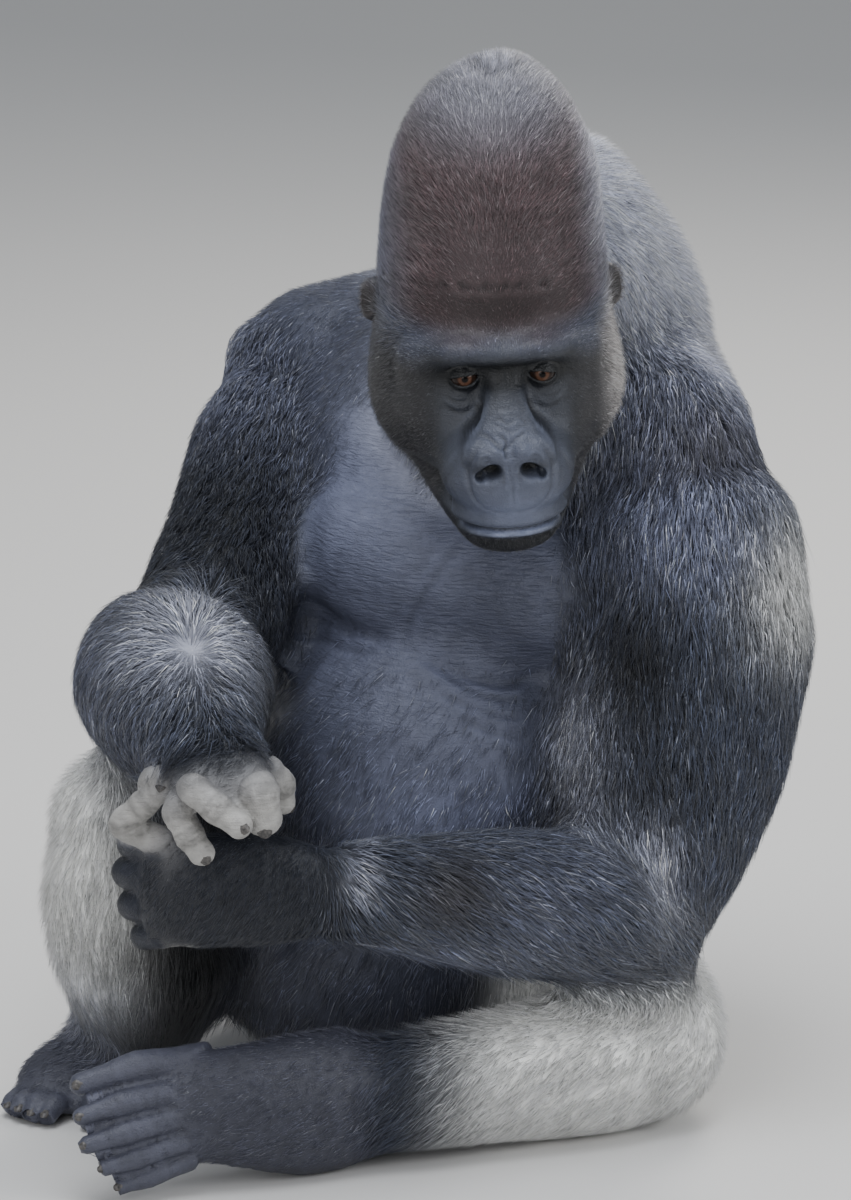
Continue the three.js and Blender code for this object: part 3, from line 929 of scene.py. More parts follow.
def make_eye(side, name):
    """The eyeball of one side, 1 for the animal's left, in place of its solid."""
    centre = from_head((EYE_CENTRE * [side, 1, 1])[None])[0]
    gaze = LOOKS_AT - centre
    gaze = gaze / np.linalg.norm(gaze)
    bpy.ops.object.select_all(action="DESELECT")
    bpy.ops.mesh.primitive_uv_sphere_add(segments=48, ring_count=48, radius=EYE_RADIUS * MM)
    ball = bpy.context.object
    ball.name = name + "_ball"
    flat = np.empty(len(ball.data.vertices) * 3, np.float32)
    ball.data.vertices.foreach_get("co", flat)
    p = flat.reshape(-1, 3) / MM
    angle = np.arccos(np.clip(p[:, 2] / EYE_RADIUS, -1, 1))
    p *= (1 + 0.06 * soft_step(IRIS * 1.15, 0, angle))[:, None]
    rim = soft_step(IRIS * 0.72, IRIS, angle)[:, None]
    iris = paint(IRIS_COLOUR) * (1 - rim) + paint(RIM_COLOUR) * rim
    ring = soft_step(PUPIL * 1.5, PUPIL * 1.05, angle)[:, None]
    iris = iris * (1 - 0.35 * ring)
    white = soft_step(IRIS * 0.97, IRIS * 1.06, angle)[:, None]
    colour = iris * (1 - white) + paint(WHITE_COLOUR) * white
    pupil = soft_step(PUPIL * 1.08, PUPIL * 0.92, angle)[:, None]
    colour = colour * (1 - pupil) + paint(PUPIL_COLOUR) * pupil
    turn = np.array(Vector(gaze).to_track_quat("Z", "Y").to_matrix())
    put_places(ball.data, p @ turn.T + centre)
    colour_layer(ball.data, "eye_colour", colour)
    bpy.ops.object.shade_smooth()
    ball.data.materials.append(eye_finish)
    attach(ball, "root")
    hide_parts(name)


# %% Finish of the eyes
def node(tree, kind, **settings):
    """A new node, with its sockets set by name."""
    made = tree.nodes.new(kind)
    for key, value in settings.items():
        made.inputs[key.replace("_", " ")].default_value = value
    return made


def join(tree, a, out, b, into):
    tree.links.new(a.outputs[out], b.inputs[into])


def ramp_between(tree, low, high):
    """Turns a factor into a number between two limits."""
    made = tree.nodes.new("ShaderNodeMapRange")
    made.inputs["To Min"].default_value = low
    made.inputs["To Max"].default_value = high
    return made


def times(tree, colour, colour_out, factor, factor_out):
    """A colour multiplied by a number."""
    made = tree.nodes.new("ShaderNodeVectorMath")
    made.operation = "SCALE"
    tree.links.new(colour.outputs[colour_out], made.inputs[0])
    tree.links.new(factor.outputs[factor_out], made.inputs["Scale"])
    return made


eye_finish = bpy.data.materials.new("eye")
eye_finish.use_nodes = True
tree = eye_finish.node_tree
shader = tree.nodes["Principled BSDF"]
shader.inputs["Roughness"].default_value = 0.1
shader.inputs["IOR"].default_value = 1.38
shader.inputs["Specular IOR Level"].default_value = 0.22
shade = tree.nodes.new("ShaderNodeAttribute")
shade.attribute_name = "eye_colour"
here = tree.nodes.new("ShaderNodeTexCoord")
flecks = node(tree, "ShaderNodeTexNoise", Scale=900.0, Detail=3.0)
join(tree, here, "Object", flecks, "Vector")
mottle = ramp_between(tree, 0.6, 1.4)
join(tree, flecks, "Fac", mottle, "Value")
tinted = times(tree, shade, "Color", mottle, "Result")
join(tree, tinted, "Vector", shader, "Base Color")

make_eye(1, "eye_left")
make_eye(-1, "eye_right")
print("eyes looking at", LOOKS_AT)


# %% [markdown]
# ## Nails
# Gorillas have flat nails, as people do, dark grey and a little ridged. One nail is modelled from
# a grid: bent across, rounded at its free end, given a wall and smoothed. Each digit gets its own
# copy, turned to its tip.

# %% Nails
NAIL_TIP = 12.0  # mm, the half width of a digit's tip that the pattern fits
NAIL_LENGTH, NAIL_WIDTH, NAIL_THICKNESS = 13.0, 12.0, 1.1  # mm
BACK_OF = {  # which way the back of a digit's tip faces
    "finger_left": (-0.6, -0.2, 0.4), "thumb_left": (-0.45, -0.75, 0.45),
    "finger_right": (-0.1, -0.9, 0.35), "finger_right_5": (-0.9, -0.3, 0.3),
    "thumb_right": (0.7, -0.5, 0.4), "toe_left": (-0.3, -0.95, 0.2), "toe_right": (0, -0.15, 1)}

bpy.ops.object.select_all(action="DESELECT")
bpy.ops.mesh.primitive_grid_add(x_subdivisions=8, y_subdivisions=10, size=1)
pattern = bpy.context.object
for v in pattern.data.vertices:
    across, along = v.co.x * 2, v.co.y + 0.5
    narrow = 1 - 0.22 * soft_step(0.55, 1.0, along) - 0.1 * soft_step(0.3, 0, along)
    end = 0.16 * across ** 2 * soft_step(0.4, 1.0, along)
    bend = 0.42 * across ** 2 + 0.10 * (along - 0.3) ** 2
    v.co = (v.co.x * narrow * NAIL_WIDTH, (along - end) * NAIL_LENGTH, -bend * NAIL_WIDTH * 0.5)
bpy.ops.object.modifier_add(type="SOLIDIFY")
pattern.modifiers[-1].thickness = NAIL_THICKNESS
pattern.modifiers[-1].offset = -1
bpy.ops.object.modifier_apply(modifier=pattern.modifiers[-1].name)
bpy.ops.object.modifier_add(type="SUBSURF")
pattern.modifiers[-1].levels = 1
pattern.modifiers[-1].render_levels = 1
bpy.ops.object.modifier_apply(modifier=pattern.modifiers[-1].name)
bpy.ops.object.shade_smooth()
NAIL_SHAPE = np.array([v.co[:] for v in pattern.data.vertices])
SKIN_TREE = BVHTree.FromPolygons(places.tolist(), net.faces.tolist())
print("corners of a nail:", len(NAIL_SHAPE))


def nail_on(name):
    """A copy of the nail on the back of a digit's tip, bedded in the skin."""
    thick, tip, points = DIGITS[name]
    end, before = np.array(points[-1], float), np.array(points[-2], float)
    along = (end - before) / np.linalg.norm(end - before)
    key = name if name in BACK_OF else name[:-2]
    back = np.array(BACK_OF[key], float)
    back -= along * back.dot(along)
    back /= np.linalg.norm(back)
    across = np.cross(along, back)
    size = tip / NAIL_TIP
    start = end + along * (tip * 0.55 - NAIL_LENGTH * size * 0.72) + back * (tip * 0.93 * 0.98)
    bed = start + along * (NAIL_LENGTH * size * 0.45)
    start = start + np.array(SKIN_TREE.find_nearest(bed)[0]) - bed + back * 0.4
    nail = pattern.copy()
    nail.data = pattern.data.copy()
    nail.name = "nail_" + name
    bpy.context.scene.collection.objects.link(nail)
    shape = NAIL_SHAPE * size
    lowered = shape[:, 2] - 0.35 * np.clip(shape[:, 1] - NAIL_LENGTH * size * 0.55, 0, None)
    put_places(nail.data, start + np.outer(shape[:, 0], across) + np.outer(shape[:, 1], along)
               + np.outer(lowered, back))
    nail.data.materials.append(nail_finish)
    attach(nail, "root")


nail_finish = bpy.data.materials.new("nail")
nail_finish.use_nodes = True
tree = nail_finish.node_tree
shader = tree.nodes["Principled BSDF"]
shader.inputs["Roughness"].default_value = 0.42
here = tree.nodes.new("ShaderNodeTexCoord")
ridges = node(tree, "ShaderNodeTexNoise", Scale=420.0, Detail=4.0)
join(tree, here, "Object", ridges, "Vector")
shades = tree.nodes.new("ShaderNodeValToRGB")
shades.color_ramp.elements[0].position = 0.32
shades.color_ramp.elements[0].color = (*paint((34, 33, 34)), 1)
shades.color_ramp.elements[1].position = 0.68
shades.color_ramp.elements[1].color = (*paint((92, 88, 84)), 1)
join(tree, ridges, "Fac", shades, "Fac")
join(tree, shades, "Color", shader, "Base Color")

for name in DIGITS:
    nail_on(name)
bpy.data.objects.remove(pattern)
print("nails:", len(DIGITS))


# %% [markdown]
# ## Markings
# A silverback's skin is slate black. His coat is black on the arms, with grizzled silver patches,
# blue grey and speckled on the neck, nearly white on the thighs, and chestnut on the crown. One
# function gives the colour at every corner of the skin, and each tuft of the coat takes its
# colour from the skin at its root, so that coat and skin carry the same markings. Hair grows
# nearly everywhere. The breast, the front of the face and the fingers in sight are bare.

# %% Colours
BLACK = paint((30, 33, 40))
COAT_BLACK = paint((66, 72, 88))
SLATE = paint((108, 113, 134))
SILVER = paint((178, 181, 196))
NEAR_WHITE = paint((244, 244, 240))
CHESTNUT = paint((98, 78, 80))
DARK_CHESTNUT = paint((70, 54, 54))
BROWN = paint((112, 104, 104))
# pale grey-brown of the cheek fringe, with painted rim light at its edge
PALE_FRINGE_RIM_LIGHT = paint((196, 190, 186))
FACE = paint((60, 63, 70))
CHEEK = paint((66, 65, 68))
PAD = paint((92, 98, 116))
LIP = paint((104, 111, 132))
# painted shade for the deep eye sockets and inside the nostrils
HOLLOW_SHADE = paint((18, 21, 23))
FINGER = paint((156, 154, 150))
GREY_SKIN = paint((86, 88, 102))
GROOVE_SHADE = 1.4  # how strongly shade is painted into the grooves
RIDGE_LIGHT_LIMIT, GROOVE_SHADE_LIMIT = 0.6, -1.1  # limits of that, for the painted light on ridges and the painted shade in grooves


def spot(places, centre, radii):
    """1 at the centre of a soft spot, falling to 0 around it."""
    q = (places - np.array(centre, float)) / np.array(radii, float)
    return np.exp(-np.sum(q * q, axis=1))


def lay(colour, over, amount):
    """Lays one colour over another by an amount at each corner."""
    return colour + (over - colour) * np.clip(amount, 0, 1)[:, None]


GROUND = {  # colour of each region before its own marks
    "head": SLATE * 0.7, "chest": SLATE * 0.62, "belly": SLATE * 0.7, "neck": SILVER * 1.3,
    "arm_left": COAT_BLACK * 1.15, "forearm_left": COAT_BLACK * 1.1, "arm_right": COAT_BLACK * 0.4,
    "forearm_right": COAT_BLACK, "thigh_left": NEAR_WHITE, "shin_left": COAT_BLACK,
    "thigh_right": SILVER * 1.5, "shin_right": SILVER * 1.5, "hands": COAT_BLACK * 0.45,
    "feet": SLATE * 0.75, "digits": SLATE * 0.75}
BODY_MARKS = [  # centre and size in body millimetres, colour, how strong, on which regions
    ((-205, -215, 497), (72, 80, 38), SILVER * 1.1, 0.9, "arms"),
    ((-160, -165, 500), (54, 60, 28), SILVER, 0.75, "arms"),
    ((-290, -150, 450), (44, 90, 70), SLATE * 0.8, 0.8, "arms"),
    ((-255, -250, 400), (50, 80, 40), SLATE * 0.8, 0.7, "arms"),
    ((-150, -200, 425), (30, 90, 50), COAT_BLACK * 0.3, 0.9, "arms"),
    ((238, -120, 574), (80, 80, 48), SLATE * 1.5, 0.9, "arms"),
    ((338, -95, 524), (42, 80, 52), NEAR_WHITE * 1.1, 1.0, "arms"),
    # painted shade in the fold between the left arm and the chest
    ((191, -145, 466), (36, 60, 60), BLACK * 0.4, 0.95, "arms"),
    ((131, -124, 386), (34, 70, 60), SILVER * 1.1, 0.9, "arms"),
    ((142, -150, 323), (32, 60, 44), SILVER * 0.7, 0.7, "arms"),
    ((204, -188, 282), (24, 60, 44), SILVER * 1.2, 0.9, "arms"),
    ((215, -150, 362), (56, 60, 40), COAT_BLACK * 0.4, 0.6, "arms"),
    ((95, -235, 262), (60, 60, 50), SLATE * 0.9, 0.7, "arms"),
    ((-40, -255, 208), (90, 60, 22), SLATE * 1.5, 0.8, "arms"),
    ((-69, -291, 292), (9, 60, 18), SILVER * 1.2, 0.9, "arms"),
    ((8, -278, 277), (38, 60, 28), BROWN * 0.3, 0.8, "arms"),
    ((-170, -300, 280), (60, 60, 50), COAT_BLACK * 0.5, 0.9, "arms"),
    ((-70, -40, 580), (70, 90, 60), SLATE * 0.95, 0.7, "trunk"),
    # painted shade on the chest under the chin, beside the left arm
    ((75, -80, 480), (60, 90, 90), SLATE * 0.34, 0.7, "trunk"),
    # pale fine hair of the lower belly, with painted light against the shadow of the forearm
    ((-10, -110, 290), (150, 100, 60), SLATE * 2.2, 0.9, "trunk"),
    ((-172, 90, 640), (100, 140, 100), SLATE * 1.2, 0.9, "trunk"),
    ((240, 60, 720), (80, 120, 70), SILVER * 1.5, 0.8, "trunk"),
]


def unit(v):
    """The same directions, all of length one."""
    return v / np.maximum(np.linalg.norm(v, axis=1, keepdims=True), 1e-9)


WAVES = ((0.5, 0.31, 0.2), (-0.24, 0.42, 0.5), (0.2, -0.6, 0.35))  # mottling of the fingers


def knuckle_crease_shade(places):
    """How deep in a crease of a knuckle each corner lies, from 0 to 1, for the painted shade of the
    creases.
    """
    crease = np.zeros(len(places))
    for thick, tip, points in DIGITS.values():
        points = np.array(points, float)
        for before, here, after in zip(points, points[1:], points[2:]):
            axis = unit((after - before)[None])[0]
            away = places - here
            along = away @ axis
            near = soft_step(thick * 1.9, thick * 1.4, np.linalg.norm(away, axis=1))
            lines = sum(np.exp(-((along - shift) / 1.7) ** 2) for shift in (-7, -2.5, 2.5, 7))
            crease = np.maximum(crease, near * np.clip(lines, 0, 1))
    return crease


def markings(places, share, normals):
    """Colour of the coat and skin, with painted light and shade in it, and how grizzled the coat is,
    at each corner.
    """
    local = to_head(places)
    x, y, z = local.T
    px, py, height = places.T
    side = np.abs(x)
    arms = sum(share[r] for r in ("arm_left", "forearm_left", "arm_right", "forearm_right"))
    trunk = share["chest"] + share["belly"]
    colour = sum(share[region][:, None] * shade for region, shade in GROUND.items())
    behind = soft_step(0.0, 0.7, normals[:, 1])
    colour = lay(colour, SILVER * 1.25, behind * trunk * soft_step(700, 600, height))
    colour = lay(colour, SLATE * 0.9, arms * soft_step(570, 650, height))
    colour = lay(colour, BROWN * 0.6, spot(places, (262, -80, 640), (40, 70, 30)))

    # legs: silver thighs and knees, dark towards the feet
    right_leg = share["shin_right"] + share["thigh_right"]
    outer = right_leg * soft_step(-215, -290, px)
    colour = lay(colour, NEAR_WHITE, outer * soft_step(80, 170, height))
    colour = lay(colour, BLACK * 0.35, right_leg * soft_step(-290, -256, px))
    colour = lay(colour, COAT_BLACK * 0.5, share["shin_right"] * soft_step(120, 40, height))
    left_leg = share["shin_left"] + share["thigh_left"]
    colour = lay(colour, COAT_BLACK * 0.7, left_leg * soft_step(60, -40, px))
    colour = net.eased(colour, 26, 0.9)
    colour = lay(colour, NEAR_WHITE * 1.1, left_leg * soft_step(-20, 100, px))

    # silver patches of the arms, the lights and darks of the breast, painted shade between the left
    # arm and the chest and under the chin, and painted light on the lower belly
    region = {"arms": np.clip(arms + share["hands"], 0, 1), "trunk": trunk}
    for centre, radii, shade, amount, where in BODY_MARKS:
        colour = lay(colour, shade, amount * region[where] * spot(places, centre, radii))

    # hands and feet
    low = soft_step(200, 140, height)
    colour = lay(colour, COAT_BLACK * 0.4, share["hands"] * 0.8)
    colour = lay(colour, GREY_SKIN, share["feet"] + share["digits"] * low)
    # painted shade: the left hand's fingers that curl under take the hand's dark coat colour, not
    # the fingers' grey
    shaded_curled = soft_step(-228, -240, px) * soft_step(322, 312, height)
    colour = lay(colour, FINGER, share["digits"] * (1 - low) * (1 - shaded_curled))
    colour = lay(colour, COAT_BLACK * 0.4, share["digits"] * (1 - low) * shaded_curled)
    # the fingers' own mottling, with painted shade in the knuckle creases
    waves = [np.sin(places @ np.array(way)) for way in WAVES]
    mottle_and_crease_shade = 1 + 0.05 * sum(waves) - 0.4 * knuckle_crease_shade(places) * (1 - low)
    colour = colour * (1 + share["digits"] * (mottle_and_crease_shade - 1))[:, None]

    # head: chestnut crown, grey sides, pale cheek fringe, black muzzle; painted light on the
    # animal's left side and at the fringe's edge, painted shade in the sockets and nostrils, a
    # painted highlight on the lower lip
    tone = np.tile(SLATE * 0.62, (len(places), 1))
    # painted light on the animal's left side of the head, laid over its grey hair
    tone = lay(tone, SILVER * 0.8, soft_step(45, 105, x) * soft_step(40, 100, z))
    on_crown = soft_step(20, 44, z) * soft_step(112, 62, side) * soft_step(60, -60, y - 0.4 * z)
    tone = lay(tone, CHESTNUT * 0.8, on_crown)
    tone = lay(tone, DARK_CHESTNUT * 0.7, spot(local, (0, -90, 56), (74, 60, 30)) * on_crown)
    tone = lay(tone, DARK_CHESTNUT, spot(local, (0, -90, 112), (50, 60, 18)) * on_crown * 0.7)
    tone = lay(tone, SILVER * 0.62, soft_step(150, 222, z) * 0.8)
    tone = lay(tone, PAD * 0.85, spot(local, (0, -130, 23), (78, 60, 8)) * 0.85)
    cheek = soft_step(24, -10, z) * soft_step(-10, -50, y) * soft_step(34, 56, side)
    tone = lay(tone, CHEEK * 0.8, cheek)
    # the cheek fringe: its own pale grey-brown, with painted rim light at the edge, stronger on the
    # animal's left
    fringe = soft_step(90, 122, side + 0.1 * x) * soft_step(40, 0, z) * soft_step(-150, -96, z)
    tone = lay(tone, PALE_FRINGE_RIM_LIGHT * 1.1, fringe * np.where(x > 0, 0.95, 0.5))
    tone = lay(tone, BROWN * 0.35, spot(mirrored(local), (112, 6, 16), (18, 30, 28)) * 1.2)
    front = soft_step(30, 16, z) * soft_step(-84, -104, y)
    tone = lay(tone, FACE * 0.7, front * soft_step(78, 56, side))
    # painted shade in the eye sockets under the brow and between the eyes
    socket_shade = spot(mirrored(local), (37, -125, -3), (30, 60, 14))
    socket_shade = socket_shade + spot(local, (0, -125, 2), (16, 60, 12))
    tone = lay(tone, HOLLOW_SHADE * 0.4, 1.5 * socket_shade)
    tone = lay(tone, PAD * 0.62, spot(local, (0, -170, -58), (44, 50, 34)))
    tone = lay(tone, LIP * 0.72, spot(local, (0, -180, -104), (54, 60, 24)))
    # painted shade inside the nostrils
    tone = lay(tone, HOLLOW_SHADE * 0.3, 1.4 * spot(mirrored(local), (18, -175, -65), (11, 60, 6)))
    beard = soft_step(-134, -141, z - LIP_UP * x * x) * soft_step(-90, -110, y)
    tone = lay(tone, BLACK * 0.8, np.clip(beard + soft_step(-140, -148, z), 0, 1))
    # painted highlight along the edge of the lower lip
    tone = lay(tone, LIP * 1.2, spot(local, (0, -175, -132), (40, 50, 3.0)) * 0.9)
    colour = colour + (tone - colour) * soft_step(0.35, 0.8, share["head"])[:, None]

    # painted shade darkens the grooves, and painted light makes the ridges a little lighter
    bulge = np.sum((places - net.mean(places)) * normals, axis=1)
    bulge = net.eased(bulge - net.eased(bulge, 6), 1)
    bulge = bulge * (share["head"] + 0.4 * trunk * soft_step(60, 20, py))
    colour = colour * np.exp(np.clip(GROOVE_SHADE * bulge, GROOVE_SHADE_LIMIT, RIDGE_LIGHT_LIMIT))[:, None]

    grizzle = by_region(
        share, head=0.75, chest=0.6, belly=0.6, neck=1.0, arm_left=0.85, forearm_left=0.8,
        arm_right=0.6, forearm_right=0.8, thigh_left=0.4, shin_left=0.7, thigh_right=0.6,
        shin_right=0.6, hands=0.4, feet=0.4, digits=0.2)
    grizzle = grizzle + 0.3 * soft_step(30, 80, x) * soft_step(20, 80, z) * share["head"]
    grizzle = grizzle + 0.4 * cheek * share["head"]
    return np.clip(colour, 0.001, 1), grizzle


normals = net.normals(places)
coat_colour, grizzle = markings(places, share, normals)
print("mean colour", coat_colour.mean(axis=0).round(3))


# %% Where hair grows
hairy = by_region(
    share, head=1, chest=1, belly=1, neck=1, arm_left=1, forearm_left=1, arm_right=1,
    forearm_right=1, thigh_left=1, shin_left=1, thigh_right=1, shin_right=1, hands=1, feet=1,
    digits=0)
px, py, pz = places.T
trunk = share["chest"] + share["belly"]
breast = soft_step(-150, -118, px) * soft_step(135, 108, px) * soft_step(70, 20, py)
breast = breast * soft_step(395, 440, pz) * soft_step(700, 650, pz)
hairy = hairy - np.clip(trunk * 1.5, 0, 1) * breast
upper_belly = share["belly"] * soft_step(300, 420, pz) * soft_step(60, 0, py)
hairy = hairy * (1 - 0.75 * upper_belly)
toe_backs = np.maximum(normals[:, 2], -normals[:, 1] * soft_step(-230, -270, py))
toes = share["digits"] * soft_step(160, 120, pz) * soft_step(-0.2, 0.3, toe_backs)
hairy = hairy + 0.6 * toes
# the left hand's curled fingers also get hair, dark with the same painted shade
shaded_curled_digits = share["digits"] * soft_step(-228, -240, px) * soft_step(322, 312, pz)
shaded_curled_digits = shaded_curled_digits * soft_step(150, 200, pz)
hairy = hairy + 0.8 * shaded_curled_digits
local = to_head(places)
bare_face = soft_step(26, 14, local[:, 2]) * soft_step(-92, -108, local[:, 1])
bare_face = bare_face * soft_step(66, 50, np.abs(local[:, 0])) * soft_step(-140, -132, local[:, 2])
hairy = np.clip(hairy - bare_face * share["head"], 0, 1)
# partly the skin's own black and partly painted shade in the depths of the coat: under dark hair the
# skin is darkened so the gaps between tufts read dark
under_coat_shade = 1 - 0.6 * hairy * soft_step(0.6, 0.2, coat_colour.mean(axis=1))
colour_layer(skin.data, "marking", coat_colour * under_coat_shade[:, None])
print("corners with hair:", int((hairy > 0.5).sum()), "of", len(hairy))


# %% [markdown]
# ## Finish of the skin
# Bare gorilla skin is leathery and a little shiny: fine pores, and on the breast long fine
# wrinkles that run across it. Under the coat the skin only has to be as dark as the coat itself.

# %% Skin material
skin_layer = skin.data.attributes.new("bare", "FLOAT", "POINT")
skin_layer.data.foreach_set("value", (1 - hairy).astype(np.float32))

leathery = by_region(share, head=0.3, chest=1, belly=1, hands=0.5, feet=0.5, digits=0.6)
leathery = leathery * (1 - hairy)
leather_layer = skin.data.attributes.new("leathery", "FLOAT", "POINT")
leather_layer.data.foreach_set("value", leathery.astype(np.float32))

skin_finish = bpy.data.materials.new("skin")
skin_finish.use_nodes = True
tree = skin_finish.node_tree
shader = tree.nodes["Principled BSDF"]
shader.inputs["Roughness"].default_value = 0.46
shader.inputs["Specular IOR Level"].default_value = 0.4
shade = tree.nodes.new("ShaderNodeAttribute")
shade.attribute_name = "marking"
here = tree.nodes.new("ShaderNodeTexCoord")
blotches = node(tree, "ShaderNodeTexNoise", Scale=60.0, Detail=9.0, Roughness=0.62)
join(tree, here, "Object", blotches, "Vector")
mottle = ramp_between(tree, 0.55, 1.45)
join(tree, blotches, "Fac", mottle, "Value")
tinted = times(tree, shade, "Color", mottle, "Result")
join(tree, tinted, "Vector", shader, "Base Color")

wrinkle_map = tree.nodes.new("ShaderNodeMapping")
wrinkle_map.inputs["Scale"].default_value = (60, 60, 340)
join(tree, here, "Object", wrinkle_map, "Vector")
wrinkles = node(tree, "ShaderNodeTexNoise", Scale=1.0, Detail=4.0, Distortion=0.6)
join(tree, wrinkle_map, "Vector", wrinkles, "Vector")
pores = node(tree, "ShaderNodeTexVoronoi", Scale=620.0)
join(tree, here, "Object", pores, "Vector")
pore_bump = node(tree, "ShaderNodeBump", Strength=0.5, Distance=0.0008)
join(tree, pores, "Distance", pore_bump, "Height")
wrinkle_bump = node(tree, "ShaderNodeBump", Distance=0.003)
leather = tree.nodes.new("ShaderNodeAttribute")
leather.attribute_name = "leathery"
join(tree, leather, "Fac", wrinkle_bump, "Strength")
join(tree, wrinkles, "Fac", wrinkle_bump, "Height")
join(tree, pore_bump, "Normal", wrinkle_bump, "Normal")
join(tree, wrinkle_bump, "Normal", shader, "Normal")
skin.data.materials.append(skin_finish)
print("nodes in the skin's finish:", len(tree.nodes))


# %% [markdown]
# ## Finish of the coat, and its map
# Hair is black or grey inside and shines along its length, so the finish has a soft gloss and a
# faint sheen over the colour of each tuft. For painting later, every tuft also has a small patch
# at its root's place on an unwrap of the skin.

# %% Coat material and unwrap
PATCH = 0.003  # width of a tuft's patch, in parts of the unwrap

coat_finish = bpy.data.materials.new("coat")
coat_finish.use_nodes = True
tree = coat_finish.node_tree
shader = tree.nodes["Principled BSDF"]
shader.inputs["Roughness"].default_value = 0.5
shader.inputs["Specular IOR Level"].default_value = 0.4
shader.inputs["Sheen Weight"].default_value = 0.12
shader.inputs["Sheen Roughness"].default_value = 0.4
shade = tree.nodes.new("ShaderNodeAttribute")
shade.attribute_name = "marking"
here = tree.nodes.new("ShaderNodeTexCoord")
streaks = node(tree, "ShaderNodeTexNoise", Scale=130.0, Detail=4.0)
join(tree, here, "Object", streaks, "Vector")
mottle = ramp_between(tree, 0.7, 1.35)
join(tree, streaks, "Fac", mottle, "Value")
tinted = times(tree, shade, "Color", mottle, "Result")
join(tree, tinted, "Vector", shader, "Base Color")

select_only(skin)
bpy.ops.object.mode_set(mode="EDIT")
bpy.ops.mesh.select_all(action="SELECT")
bpy.ops.uv.smart_project(angle_limit=math.radians(70), island_margin=0.001)
bpy.ops.object.mode_set(mode="OBJECT")
skin.data.uv_layers.active.name = "OFBake"
flat = np.empty(len(skin.data.loops) * 2, np.float32)
skin.data.uv_layers.active.data.foreach_get("uv", flat)
SKIN_UNWRAP = flat.reshape(-1, 3, 2)
print("unwrap from", SKIN_UNWRAP.min().round(3), "to", SKIN_UNWRAP.max().round(3))


# %% [markdown]
# ## The lie of the coat
# Hair lies in streams. It runs up and back over the crown, out and down over the cheeks, down the
# back and the upper arms, and up the forearms to the elbow, where the two streams meet in a
# whorl. Each region gets the direction of its stream, the whorls are added, and the whole field
# is laid flat on the skin and softened.

# %% Streams of hair
ELBOW_WHORL = np.array([-209, -232, 492.0])  # body millimetres
WHORL_SIZE = 75


def lie_of_coat(places, share, normals):
    """The direction in which the hair points at each corner."""
    x, y, z = to_head(places).T
    sign = np.tanh(x / 25)
    up = soft_step(-10, 40, z)
    crown = np.stack([0.016 * x, 0.5 + 0 * x, 0.8 + 0 * x], axis=1)
    cheek = np.stack([0.75 * sign, 0.55 + 0 * x, -0.75 + 0 * x], axis=1)
    chin = np.stack([0.2 * sign, 0.5 + 0 * x, -0.9 + 0 * x], axis=1)
    face = cheek + (crown - cheek) * up[:, None]
    face = face + (chin - face) * soft_step(-100, -130, z)[:, None]
    nape = soft_step(30, 90, y)
    face = face + (np.array([0, 0.5, -0.9]) - face) * nape[:, None]
    flow = (face @ HEAD_TURN.T) * share["head"][:, None]
    streams = {
        "chest": (-0.1, 0.25, -1), "belly": (-0.45, 0.1, -0.85), "neck": (0.25, 0.55, -0.85),
        "arm_left": (0.0, -0.2, -1), "forearm_left": (0.8, 0.1, -0.62),
        "arm_right": (-0.3, -0.75, -0.6), "forearm_right": (-0.25, -0.35, -0.9),
        "thigh_left": (0.35, -0.8, -0.35), "shin_left": (-0.75, -0.35, -0.5),
        "thigh_right": (-0.6, -0.7, -0.3), "shin_right": (-0.05, -0.1, -1),
        "hands": (-0.55, -0.25, -0.8), "feet": (-0.8, -0.5, -0.25), "digits": (-0.8, -0.5, -0.25)}
    for region, stream in streams.items():
        flow += share[region][:, None] * np.array(stream)
    # the whorl on the right elbow: hair runs out from its middle on all sides
    out = places - ELBOW_WHORL
    out[:, 1] *= 0.4
    arms = share["forearm_right"] + share["arm_right"]
    near = np.exp(-np.sum((out / WHORL_SIZE) ** 2, axis=1)) * arms
    outwards = unit(out) * 1.3 + np.array([-0.15, 0, -0.2])
    flow = flow + (outwards - flow) * np.clip(1.3 * near, 0, 1)[:, None]
    # the upper arm's hair turns in towards the lap at the edge of the elbow
    edge = soft_step(250, 320, places[:, 0]) * soft_step(480, 330, places[:, 2]) * share["arm_left"]
    flow = flow + (np.array([-0.6, -0.1, -1]) - flow) * edge[:, None]
    flow = flow - normals * np.sum(flow * normals, axis=1, keepdims=True)
    flow = net.eased(flow, 4)
    flow = flow - normals * np.sum(flow * normals, axis=1, keepdims=True)
    return unit(flow + 1e-6)


lie = lie_of_coat(places, share, normals)
print("mean stream of the coat:", lie.mean(axis=0).round(2))


# %% [markdown]
# ## Tufts
# A tuft is one thin solid: short ones are a three-sided spike, long ones a spindle that is widest
# a third of the way along. Its root is sunk in the skin. Its middle and its tip are laid over the
# skin at a height that grows with the depth of the coat there, so the tufts overlap like tiles
# and follow the body round. Neighbours lean together into locks, as real hair does.

# %% Roots and heights
FIRST, SECOND, THIRD = (places[net.faces[:, i]] for i in range(3))
FACE_AREA = 0.5 * np.linalg.norm(np.cross(SECOND - FIRST, THIRD - FIRST), axis=1)
print("area of the skin in square metres:", round(FACE_AREA.sum() * MM ** 2, 2))


def over_skin(points, heights, keep):
    """Moves each point to its height over the nearest skin; `keep` of 1 leaves it where it is."""
    out = np.empty_like(points)
    for i, (point, height) in enumerate(zip(points.tolist(), heights.tolist())):
        found, normal, _, _ = SKIN_TREE.find_nearest(point)
        out[i] = found + normal * height
    return out + (points - out) * keep[:, None]


def at_roots(values, faces, mix):
    """A value of the skin's corners, at the roots."""
    corner = values[net.faces[faces]]
    if corner.ndim == 2:
        return np.sum(corner * mix, axis=1)
    return np.sum(corner * mix[:, :, None], axis=1)


